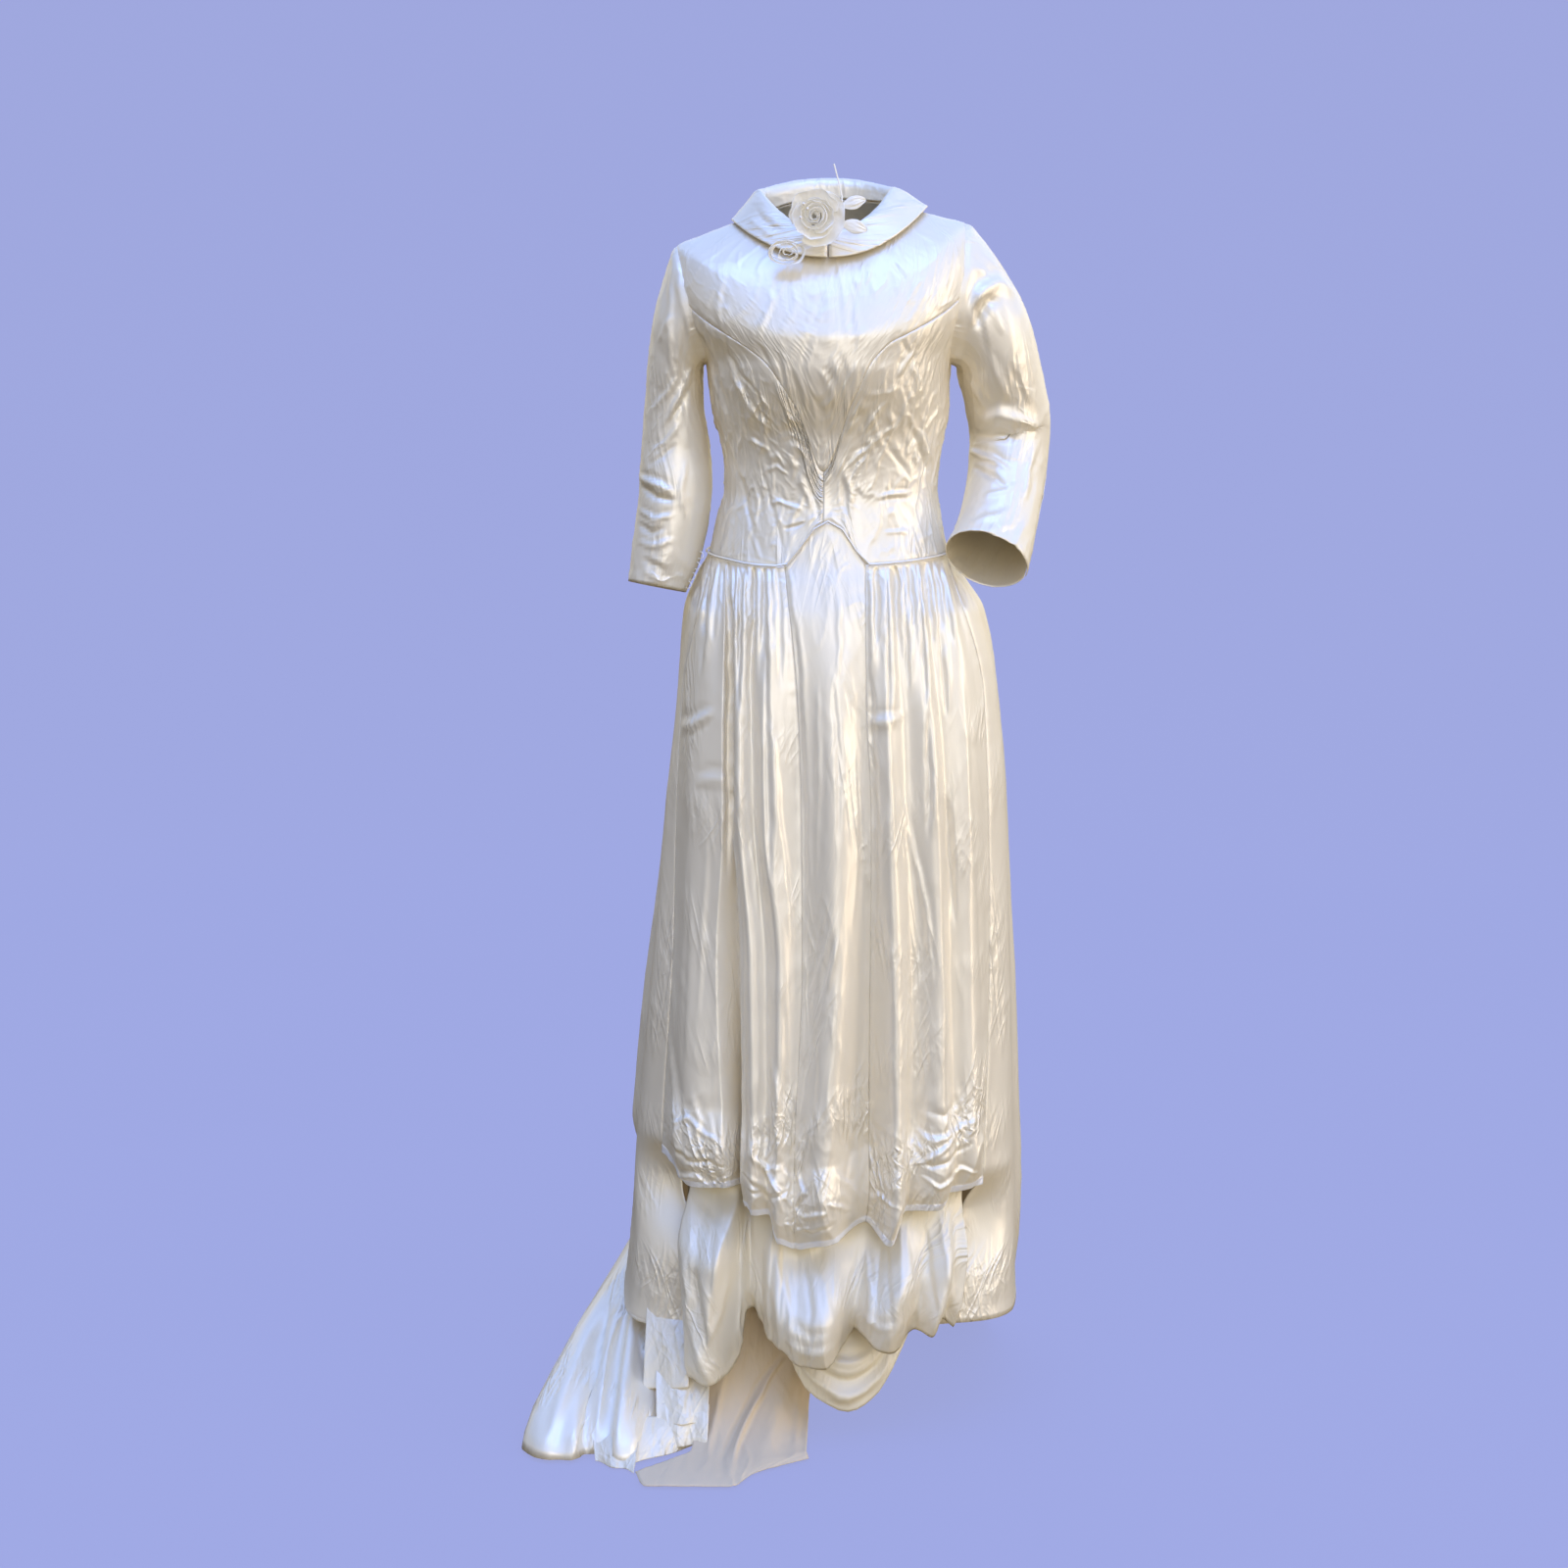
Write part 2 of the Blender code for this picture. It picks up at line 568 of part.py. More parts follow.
def skirt_front(u, v):
    """u is a place between fold lines and v runs from the waist seam to the hem."""
    top_x = line_x(u, np.full(len(u), LINE_HEIGHTS[0]))
    level = np.full(len(u), -LINE_HEIGHTS[0])
    for _ in range(4):
        level = waist_level(angle_at(top_x, level))
    top = -level
    hem = between_lines(FOLD_DEPTHS, 4, eased(u))
    z = row_z(v, top, hem)
    x = line_x(u, z)
    centre = (u > CENTRE_PANEL_LINES[0]) & (u < CENTRE_PANEL_LINES[1])
    out = front_depth(u, z) * smooth((top - z) / 0.02) + np.where(centre, 0, gathers(u, z))
    over_hem = np.clip((z - hem) / 0.10, 0, 1)
    puff = HEM_PUFF * quiet_ends(u, (0, len(FOLD_LINES) - 1))
    out = out + puff * (np.sin(math.pi * over_hem) - (1 - over_hem) ** 6)
    return body(angle_at(x, -z), -z, out)


def lower_tier(u, v):
    """The tier under the front hem. Behind the front it follows that one's folds."""
    hem = curve(column(TIER_HEM, 0), column(TIER_HEM, 1), u)
    front_hem = between_lines(FOLD_DEPTHS, 4, u)
    z = TIER_TOP + (hem - TIER_TOP) * v
    x = line_x(u, z)
    hidden = curve(column(TIER_HIDDEN, 0), column(TIER_HIDDEN, 1), u)
    own = between_lines(FOLD_DEPTHS, 3, eased(u))
    out = hidden + (own - hidden) * smooth((front_hem - 0.012 - z) / 0.09)
    out = out - TIER_PUFF * np.clip((v - 0.86) / 0.14, 0, 1) ** 2
    return body(angle_at(x, -z), -z, out)


def side_panel(side):
    """The panel between the front and the back, longer than the front, whose hem it runs behind."""
    edge = 0 if side < 0 else len(FOLD_LINES) - 1
    hems = column(SIDE_HEMS, 1 if side < 0 else 2)
    low = SIDE_SEAM_LOW if side < 0 else SIDE_SEAM
    front_hem = FOLD_DEPTHS[edge][4]

    def form(u, v):
        top = -waist_level(np.radians(side * (75 + 13 * u)))
        z = row_z(v, top, curve(column(SIDE_HEMS, 0), hems, u))
        behind = edge - side * SIDE_BEHIND * smooth((front_hem - 0.05 - z) / 0.10)
        front = np.abs(angle_at(line_x(behind, z), -z))
        back = np.radians(SIDE_SEAM + (low - SIDE_SEAM) * smooth((SIDE_SEAM_FREE - z) / 0.16))
        tucked = smooth((front_hem + SIDE_TUCK_EARLY - z) / 0.06)
        out = -SIDE_TUCK * tucked * (1 - smooth(u / 0.7))
        out = out + 0.006 * np.sin(math.pi * u) ** 2 * smooth((-0.6 - z) / 0.3)
        return body(side * (front + (back - front) * u), -z, out)

    return form


def skirt_back(lines):
    """A back panel. u is a place between its lines and v runs from the waist seam to the hem."""

    def form(u, v):
        place = u * (len(lines) - 1)
        k = np.arange(len(lines))
        angle = np.radians(curve(k, column(lines, 0), place))
        leave = curve(k, column(lines, 1), place)
        hem_z = FLOOR + FLOOR_LIFT + curve(k, column(lines, 4), place)
        top = -waist_level(angle)
        z = row_z(v, top, hem_z)
        share = (np.abs(np.degrees(angle)) - SIDE_SEAM) / (180 - SIDE_SEAM)
        across = BACK_FOLD * np.sin(2 * math.pi * BACK_FOLDS * share) * smooth((-0.5 - z) / 0.6)
        under = top - z
        rise = smooth(under / 0.025) * (1 - smooth((under - 0.03) / 0.25))
        across = across + GATHER * rise * np.sin(2 * math.pi * BACK_GATHERS * share)
        across = across * smooth(share / 0.08) * smooth((1 - share) / 0.08)
        if lines is TRAIN_LINES:
            inner = 1 - smooth((u - 0.40) / 0.15)
            across = across - TRAIN_TUCK * smooth((SIDE_SEAM_FREE - z) / 0.07) * inner
        hung = body(angle, -z, across)
        s = np.clip((leave - z) / (leave - hem_z), 0, 1)
        sweep = smooth(s**1.6)
        hem_x = curve(k, column(lines, 2), place)
        hem_y = curve(k, column(lines, 3), place)
        hung[..., 0] += (hem_x - hung[..., 0]) * sweep
        hung[..., 1] += (hem_y - hung[..., 1]) * sweep
        return hung

    return form


def underskirt(u, v):
    """A plain tube well inside the skirt, whose hem falls in a swag at the front."""
    degrees = 360 * u - 180
    angle = np.radians(degrees)
    hem = curve(column(UNDERSKIRT_HEM, 0), column(UNDERSKIRT_HEM, 1), degrees)
    z = UNDERSKIRT_TOP + (hem - UNDERSKIRT_TOP) * v
    inside = UNDERSKIRT_INSIDE * smooth((UNDERSKIRT_TOP + 0.02 - z) / 0.35) + 0.012
    swag = SWAG_OUT * smooth((-1.37 - z) / 0.09)
    ripple = 0.006 * np.sin(9 * angle + 1.2) * smooth((-0.7 - z) / 0.4)
    return body(angle, -z, swag + ripple - inside)


def train_lining(u, v):
    place = u * (len(LINING_LINES) - 1)
    k = np.arange(len(LINING_LINES))
    rows = [curve(k, column(LINING_LINES, c), place) for c in range(7)]
    top_x, top_y, top_z, knee_x, knee_y, hem_x, hem_y = rows
    fall = np.clip(v / LINING_KNEE, -0.1, 1)
    lie = np.clip((v - LINING_KNEE) / (1 - LINING_KNEE), 0, 1.1)
    x = top_x + (knee_x - top_x) * fall + (hem_x - knee_x) * lie
    y = top_y + (knee_y - top_y) * np.sign(fall) * np.abs(fall) ** 2.2 + (hem_y - knee_y) * lie
    low = FLOOR + FLOOR_LIFT
    z = top_z + (low + 0.004 - top_z) * (1 - (1 - fall) ** 1.35) - 0.004 * lie
    return np.stack([x, y, z], axis=-1)


def sleeve(rows, side):
    """u runs round the arm from its outer side forward, v from the armhole to the cuff."""
    places = column(rows, 0)

    def middle(v):
        return np.stack([curve(places, column(rows, k), v) for k in (1, 2, 3)], axis=-1)

    def form(u, v):
        phi = 2 * math.pi * u
        v = np.clip(v, 0.0, 1.0)
        along = middle(np.clip(v + 0.01, 0, 1)) - middle(np.clip(v - 0.01, 0, 1))
        along = along / np.linalg.norm(along, axis=-1, keepdims=True)
        lean = np.radians(curve(places, column(rows, 4), v))
        outer = np.stack([side * np.sin(lean), 0 * lean, np.cos(lean)], axis=-1)
        forward = side * np.cross(along, outer)
        forward = forward / np.linalg.norm(forward, axis=-1, keepdims=True)
        wide = curve(places, column(rows, 5), v)
        deep = curve(places, column(rows, 6), v)
        across = outer * (wide * np.cos(phi))[..., None]
        tube = middle(v) + across + forward * (deep * np.sin(phi))[..., None]
        angle = side * np.radians(90 - ARMHOLE_HALF_ANGLE * np.sin(phi))
        level = ARMHOLE_LEVEL - ARMHOLE_HALF_LEVEL * np.cos(phi)
        start = body(angle, level, SLEEVE_GAP)
        blend = 1 - (1 - np.clip(v / SLEEVE_BLEND, 0, 1)[..., None]) ** 2
        return start + (tube - start) * blend

    return form


def collar(u, v):
    angle = np.radians(COLLAR_ENDS[0] + (COLLAR_ENDS[1] - COLLAR_ENDS[0]) * u)
    k = np.arange(len(COLLAR_ROWS))
    sizes = [curve(k, column(COLLAR_ROWS, c), v * (len(COLLAR_ROWS) - 1)) for c in range(8)]
    return ring(angle, sizes)


def petal(start, span, radius, depth):
    def form(u, v):
        turn = np.radians(start + span * u)
        rise = v * (1 - 0.25 * (2 * u - 1) ** 4)
        reach = radius * (0.40 + 0.60 * np.abs(rise) ** 0.7)
        x = ROSE_CENTRE[0] + reach * np.sin(turn)
        z = ROSE_CENTRE[1] + reach * np.cos(turn)
        return np.stack([x, ROSE_BACK - 0.001 - depth * rise, z], axis=-1)

    return form


def rose_core(u, v):
    turn = 2 * math.pi * 1.6 * u
    reach = CORE_RADIUS * (0.30 + 0.70 * u) * (0.45 + 0.25 * v)
    x = ROSE_CENTRE[0] + reach * np.sin(turn)
    z = ROSE_CENTRE[1] + reach * np.cos(turn)
    return np.stack([x, ROSE_BACK - 0.001 - CORE_DEPTH * v, z], axis=-1)


def bud_loop(u, v):
    turn = 2 * math.pi * u
    flare = 1 + 0.15 * v
    x = BUD_CENTRE[0] + BUD_HALF[0] * flare * np.sin(turn)
    z = BUD_CENTRE[2] + BUD_HALF[1] * flare * np.cos(turn)
    return np.stack([x, BUD_CENTRE[1] - 0.009 * v + 0 * x, z], axis=-1)


def leaf(base_x, base_z, tip_x, tip_z, half):
    along = np.array([tip_x - base_x, tip_z - base_z])
    across = np.array([-along[1], along[0]]) / np.hypot(*along)

    def form(u, v):
        wide = half * (0.15 + np.sin(math.pi * np.clip(v, 0, 1)) ** 0.8 * 0.85) * (2 * u - 1)
        x = base_x + along[0] * v + across[0] * wide
        z = base_z + along[1] * v + across[1] * wide
        y = LEAF_Y - 0.005 * np.sin(math.pi * v) + 0.12 * np.abs(wide)
        return np.stack([x, y, z], axis=-1)

    return form


def material(name, colour, roughness):
    mat = bpy.data.materials.get(name) or bpy.data.materials.new(name)
    mat.use_nodes = True
    shader = mat.node_tree.nodes["Principled BSDF"]
    shader.inputs["Base Color"].default_value = colour
    shader.inputs["Roughness"].default_value = roughness
    return mat


def finish(name, mesh, mat):
    mesh.materials.append(mat)
    mesh.shade_smooth()
    mesh.set_sharp_from_angle(angle=math.radians(50))
    made = bpy.data.objects.new(name, mesh)
    bpy.context.scene.collection.objects.link(made)
    return made


def trimmed(form, us, vs, gaps):
    """Moves the outer rows and columns of a panel in by half a seam gap, measured on the form."""
    u, v = np.meshgrid(us, vs, indexing="ij")
    points = form(u.ravel(), v.ravel()).reshape(len(us), len(vs), 3)
    wide = np.linalg.norm(np.diff(points, axis=0), axis=-1).sum(axis=0)
    tall = np.linalg.norm(np.diff(points, axis=1), axis=-1).sum(axis=1)
    u = u.copy()
    v = v.copy()
    u[0] += gaps[0] / wide * (us[-1] - us[0])
    u[-1] -= gaps[1] / wide * (us[-1] - us[0])
    v[:, 0] += gaps[2] / tall
    v[:, -1] -= gaps[3] / tall
    return u, v


def outward(form, u, v, flip):
    """The form's unit normal, from small steps along and across it."""
    du, dv = 1e-3 * (u.max() - u.min()), 1e-3
    along = form(u + du, v) - form(u - du, v)
    down = form(u, v + dv) - form(u, v - dv)
    return unit(np.cross(down, along) * (-1 if flip else 1))


def wall(
    name, form, us, vs, mat, thick=CLOTH, loop=False, flip=False, gaps=None, normal=None
):
    """A closed wall on a form: a flat slab of squares, bent so that each corner meets the form.

    us and vs are the places of its columns and rows. Its outer face lies on the form, and the
    inner one lies the cloth's thickness inside it. A loop joins its last column to its first.
    """
    half = SEAM_GAP / 2
    gaps = gaps or ((0, 0, half, half) if loop else (half, half, half, half))
    us, vs = np.asarray(us, float), np.asarray(vs, float)
    u_grid, v_grid = trimmed(form, us, vs, gaps)
    shape = bmesh.new()
    bmesh.ops.create_grid(shape, x_segments=len(us) - 1, y_segments=len(vs) - 1, size=0.5)
    grown = bmesh.ops.extrude_face_region(shape, geom=shape.faces[:])
    inner = [piece for piece in grown["geom"] if isinstance(piece, bmesh.types.BMVert)]
    bmesh.ops.translate(shape, verts=inner, vec=(0, 0, -1))
    bmesh.ops.recalc_face_normals(shape, faces=shape.faces[:])
    flat = np.array([vert.co[:] for vert in shape.verts])
    column_of = np.rint((flat[:, 0] + 0.5) * (len(us) - 1)).astype(int)
    row_of = np.rint((flat[:, 1] + 0.5) * (len(vs) - 1)).astype(int)
    row_of = len(vs) - 1 - row_of
    cut_corner_to_corner(shape, flat, column_of + row_of)
    u, v = u_grid[column_of, row_of], v_grid[column_of, row_of]
    inside = flat[:, 2:] < -0.5
    face = normal(u, v) if normal else outward(form, u, v, flip)
    points = form(u, v) - face * thick * inside
    points[:, 2] = np.maximum(points[:, 2], FLOOR)
    for vert, point in zip(shape.verts, points):
        vert.co = point
    if flip:
        bmesh.ops.reverse_faces(shape, faces=shape.faces[:])
    if loop:
        ends = [face for face in shape.faces if at_slab_end(face, flat, column_of, len(us) - 1)]
        bmesh.ops.delete(shape, geom=ends, context="FACES_ONLY")
        bmesh.ops.remove_doubles(shape, verts=shape.verts[:], dist=1e-6)
    mesh = bpy.data.meshes.new(name)
    shape.to_mesh(mesh)
    shape.free()
    return finish(name, mesh, mat)


def cut_corner_to_corner(shape, flat, order):
    """Cuts each square of both layers along the same diagonal, so that a twisted wall stays even."""
    for face in list(shape.faces):
        corners = list(face.verts)
        layers = {round(float(flat[vert.index, 2])) for vert in corners}
        if len(layers) == 1:
            places = [order[vert.index] for vert in corners]
            first, last = places.index(min(places)), places.index(max(places))
            bmesh.utils.face_split(face, corners[first], corners[last])


def at_slab_end(face, flat, column_of, last):
    """Whether a face of the slab closes its first or last column."""
    columns = {int(column_of[vert.index]) for vert in face.verts}
    layers = {round(float(flat[vert.index, 2])) for vert in face.verts}
    return len(layers) == 2 and columns in ({0}, {last})


def tube(name, points, radius, mat, closed=False):
    line = bpy.data.curves.new(name, "CURVE")
    line.dimensions = "3D"
    line.bevel_depth = radius
    line.bevel_resolution = 0
    line.use_fill_caps = not closed
    spline = line.splines.new("POLY")
    spline.points.add(len(points) - 1)
    for spot, place in zip(spline.points, points):
        spot.co = (*place, 1.0)
    spline.use_cyclic_u = closed
    line.materials.append(mat)
    made = bpy.data.objects.new(name, line)
    bpy.context.scene.collection.objects.link(made)
    return made


def steps(start, end, count):
    return np.linspace(start, end, count + 1)


def place_at(degrees):
    """The places between fold lines that meet the waist seam at these ring angles."""
    angle = np.radians(np.array(degrees))
    x = body(angle, waist_level(angle))[:, 0]
    return np.interp(x, column(FOLD_LINES, 1), np.arange(len(FOLD_LINES)))


def between(places, count):
    """Each stretch between two places, cut into count equal parts."""
    cuts = [np.linspace(a, b, count, endpoint=False) for a, b in zip(places[:-1], places[1:])]
    return np.append(np.concatenate(cuts), places[-1])


def clear_scene():
    for old in list(bpy.data.objects):
        bpy.data.objects.remove(old)


def make_bodice(satin):
    half = SEAM_GAP / 2
    armhole = 90 - ARMHOLE_HALF_ANGLE * np.sin(np.radians(ARM_TURNS))
    right = np.concatenate([-armhole, RIGHT_COLUMNS, (YOKE_POINT,)])
    left = np.concatenate([(YOKE_POINT,), LEFT_COLUMNS, armhole[::-1]])
    form, normal = on_body(yoke)
    around = np.append(right, left[1:])
    edges = (half, half, half, SEAM_GAP)
    wall("bodice_yoke", form, around, steps(0, 1, YOKE_ROWS), satin, gaps=edges, normal=normal)
    waist = (half, half, SEAM_GAP, WAIST_GAP / 2)
    form, normal = on_body(side_front)
    for name, us in (("bodice_side_front_left", left), ("bodice_side_front_right", right)):
        wall(name, form, us, steps(0, 1, SIDE_FRONT_ROWS), satin, gaps=waist, normal=normal)
    turns = np.radians(np.append(ARM_TURNS, 90 + ARM_TURNS[1:]))
    beside = ARMHOLE_LEVEL - ARMHOLE_HALF_LEVEL * np.cos(turns)
    rows = np.concatenate([BACK_ABOVE, beside, BACK_BELOW]) / BACK_LENGTH
    for side, name in ((1, "bodice_back_left"), (-1, "bodice_back_right")):
        form, normal = on_body(bodice_back(side))
        flip = side < 0
        wall(name, form, steps(0, 1, 6), rows, satin, flip=flip, gaps=waist, normal=normal)


def make_sleeves(satin):
    around = steps(0, 1, SLEEVE_COLUMNS)
    form = sleeve(RIGHT_SLEEVE, -1)
    wall("sleeve_right", form, around, SLEEVE_ROWS, satin, loop=True)
    other = sleeve(LEFT_SLEEVE, 1)
    wall("sleeve_left", other, around, SLEEVE_ROWS, satin, loop=True, flip=True)
    thread = material("loop thread", THREAD, 0.7)
    places = np.array(LOOP_PLACES)
    across = np.full(len(places), LOOP_TURN)
    roots = form(across, places)
    out = outward(form, np.append(across, LOOP_TURN + 0.1), np.append(places, 0.9), False)[:-1]
    down = unit(form(across, places + 0.004) - form(across, places - 0.004))
    half_turn = np.linspace(-0.5, 0.5, LOOP_STEPS)[:, None] * math.pi
    reach = LOOP_OFF + 1.3 * LOOP_RADIUS * np.cos(half_turn)
    rise = LOOP_RADIUS * np.sin(half_turn)
    for number in range(len(places)):
        points = roots[number] + out[number] * reach + down[number] * rise
        tube(f"button_loop_{number + 1}", points, LOOP_THREAD, thread)


def make_collar(satin):
    wall("collar", collar, steps(0, 1, 28), steps(0, 1, 7), satin)


def make_skirt(satin, shaded, matte):
    half = SEAM_GAP / 2
    upper = steps(0, UPPER_SHARE, len(ROW_HEIGHTS))
    rows = np.append(upper, FRONT_LOWER_ROWS)
    first, last = CENTRE_PANEL_LINES
    end = len(FOLD_LINES) - 1
    waist = (half, half, WAIST_GAP / 2, half)
    notch = np.concatenate([[first], place_at(NOTCH_ANGLES), [last]])
    wall("skirt_centre_front", skirt_front, notch, rows, satin, gaps=waist)
    valley = np.concatenate([steps(0, 2, 8), VALLEY_COLUMNS, steps(4, first, 4 * (first - 4))])
    wall("skirt_side_front_right", skirt_front, valley, rows, satin, gaps=waist)
    beside = steps(last, end, 4 * (end - last))
    wall("skirt_side_front_left", skirt_front, beside, rows, satin, gaps=waist)
    wall("skirt_side_left", side_panel(1), steps(0, 1, 4), rows, satin, gaps=waist)
    wall("skirt_side_right", side_panel(-1), steps(0, 1, 4), rows, satin, gaps=waist, flip=True)
    rows = np.append(upper, BACK_LOWER_ROWS)
    train = between(np.arange(len(TRAIN_LINES)) / (len(TRAIN_LINES) - 1), 2)
    form = skirt_back(TRAIN_LINES)
    wall("skirt_back_right", form, train, rows, satin, gaps=waist, flip=True)
    wall("skirt_back_left", skirt_back(BACK_LINES), steps(0, 1, 18), rows, satin, gaps=waist)
    tier = between(np.concatenate([(TIER_ENDS,), np.arange(1, end), (end - TIER_ENDS,)]), 3)
    wall("lower_tier", lower_tier, tier, TIER_ROWS, shaded)
    wall("underskirt", underskirt, steps(0, 1, 28), UNDER_ROWS, matte, loop=True)
    wall("train_lining", train_lining, steps(0, 1, 10), LINING_ROWS, matte)
    turns = np.linspace(-math.pi, math.pi, PIPING_POINTS, endpoint=False)
    path = body(turns, waist_level(turns), PIPING_OUT)
    tube("waist_piping", [tuple(point) for point in path], PIPING_RADIUS, satin, closed=True)


def make_rose():
    organza = material("organza", ORGANZA_WHITE, 0.5)
    around = steps(0, 1, 9)
    for number, row in enumerate(PETALS, 1):
        name = f"rose_petal_{number}"
        wall(name, petal(*row), around, steps(0, 1, 3), organza, ORGANZA, flip=True)
    turns = steps(0, 1, 14)
    wall("rose_core", rose_core, turns, steps(0, 1, 2), organza, ORGANZA, flip=True)
    wall("rose_bud", bud_loop, turns, steps(0, 1, 2), organza, ORGANZA, loop=True, flip=True)
    for number, row in enumerate(LEAVES, 1):
        wall(f"rose_leaf_{number}", leaf(*row), steps(0, 1, 4), steps(0, 1, 5), organza, ORGANZA)
    tube("rose_stem", STEM_POINTS, STEM_RADIUS, organza)


def main():
    clear_scene()
    satin = material("ivory satin", SATIN, 0.32)
    shaded = material("tier satin", SHADED_SATIN, 0.34)
    matte = material("matte lining", MATTE, 0.75)
    make_bodice(satin)
    make_sleeves(satin)
    make_collar(satin)
    make_skirt(satin, shaded, matte)
    make_rose()


main()
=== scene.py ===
# %% [markdown]
# # Evening gown of ivory satin
#
# This lesson dresses the frame of an evening gown in cloth. The gown is shown hollow, in the form
# that it takes when it is worn: a yoke with a V-shaped seam, a rolled collar with a silk rose,
# sleeves that end above the wrist, a waist seam that rises to a notch, a gathered skirt, a lower
# tier, and a train. Satin is told by how light breaks on it. So each panel here is one fine sheet,
# bent by the same forms as the frame, and its creases are laid on that sheet one by one, in metres.

import math

import bmesh
import bpy
import numpy as np
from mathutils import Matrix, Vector


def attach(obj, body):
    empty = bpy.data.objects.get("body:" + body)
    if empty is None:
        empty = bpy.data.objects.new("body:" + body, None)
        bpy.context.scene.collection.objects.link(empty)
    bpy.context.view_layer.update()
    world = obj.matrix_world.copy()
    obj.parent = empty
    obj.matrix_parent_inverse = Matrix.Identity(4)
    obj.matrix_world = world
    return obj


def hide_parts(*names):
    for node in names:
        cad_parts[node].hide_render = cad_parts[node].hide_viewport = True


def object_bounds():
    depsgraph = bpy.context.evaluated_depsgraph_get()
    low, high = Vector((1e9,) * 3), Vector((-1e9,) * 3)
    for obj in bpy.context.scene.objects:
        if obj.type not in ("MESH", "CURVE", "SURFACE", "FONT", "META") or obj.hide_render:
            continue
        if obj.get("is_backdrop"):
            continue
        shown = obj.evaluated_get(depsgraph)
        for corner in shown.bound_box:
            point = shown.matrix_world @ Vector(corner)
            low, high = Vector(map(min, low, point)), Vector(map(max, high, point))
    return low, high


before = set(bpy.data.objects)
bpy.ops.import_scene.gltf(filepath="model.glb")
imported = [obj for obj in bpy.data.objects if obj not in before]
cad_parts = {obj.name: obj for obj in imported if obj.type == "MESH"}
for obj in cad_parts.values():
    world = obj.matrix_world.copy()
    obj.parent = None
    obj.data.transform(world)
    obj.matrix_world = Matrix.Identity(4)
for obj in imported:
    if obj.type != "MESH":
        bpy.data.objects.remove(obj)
bounds_at_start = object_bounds()
print("nodes in the frame:", len(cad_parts))

# %% [markdown]
# ## From tables to forms
#
# A form turns two places, one across a panel and one down it, into a point of the cloth. Its sizes
# come from tables, as girths at known heights do in a dressmaker's block. They could be measured
# again from the frame's solids, but written out they also say what each number means. The tables
# are joined by a curve that never swings past them, so that nothing bulges between two rings.

# %% Smooth lines through a table
def curve(knots, values, at):
    """A smooth line through the given points that never swings past them."""
    x = np.asarray(knots, float)
    y = np.asarray(values, float)
    at = np.clip(at, x[0], x[-1])
    steps = np.diff(x)
    slopes = np.diff(y) / steps
    bend = np.zeros(len(x))
    same = slopes[:-1] * slopes[1:] > 0
    mean = 2 * slopes[:-1] * slopes[1:] / np.where(same, slopes[:-1] + slopes[1:], 1)
    bend[1:-1] = np.where(same, mean, 0)
    bend[0], bend[-1] = slopes[0], slopes[-1]
    k = np.clip(np.searchsorted(x, at, side="right") - 1, 0, len(steps) - 1)
    t = (at - x[k]) / steps[k]
    h = steps[k]
    start = y[k] * (1 + 2 * t) * (1 - t) ** 2 + h * bend[k] * t * (1 - t) ** 2
    end = y[k + 1] * (3 - 2 * t) * t**2 + h * bend[k + 1] * (t - 1) * t**2
    return start + end


def smooth(t):
    t = np.clip(t, 0, 1)
    return t * t * (3 - 2 * t)


def hump(distance, width):
    """1 in the middle and fading to both sides, like a bell."""
    return np.exp(-((distance / width) ** 2))


def column(table, k):
    return [row[k] for row in table]


def unit(vectors):
    return vectors / np.maximum(np.linalg.norm(vectors, axis=-1, keepdims=True), 1e-12)


print("halfway between 0 and 1, eased:", smooth(0.5))

# %% [markdown]
# The shoulders, chest and skirt are all rings of one form. Above the armholes the rings are tilted,
# because a shoulder falls away to the side and the neck is lower in front. A ring is a rounded box
# and not an ellipse: the power in its sines decides how square its corners are.

# %% Rings of the gown
# Neck point to floor, and how far the hems hang over the floor, in metres
GOWN_HEIGHT = 1.54
FLOOR = -GOWN_HEIGHT
FLOOR_LIFT = 0.0045
CORNER = 2.2

# Rings of the shoulders and chest. Each one is tilted, so it has its own height at each side,
# at the front and at the back. "level" is its depth under the neck point.
# level, left, right, front, back, z_left, z_right, z_front, z_back
SHOULDER_RINGS = (
    (0.0, 0.08, 0.076, 0.072, 0.066, -0.006, 0.006, -0.046, 0.012),
    (0.03, 0.118, 0.112, 0.092, 0.086, -0.019, -0.004, -0.066, -0.008),
    (0.06, 0.158, 0.144, 0.108, 0.099, -0.034, -0.012, -0.09, -0.04),
    (0.085, 0.188, 0.171, 0.118, 0.106, -0.048, -0.02, -0.112, -0.07),
    (0.12, 0.195, 0.184, 0.128, 0.111, -0.088, -0.07, -0.138, -0.108),
    (0.15, 0.184, 0.176, 0.134, 0.113, -0.132, -0.122, -0.16, -0.142),
)

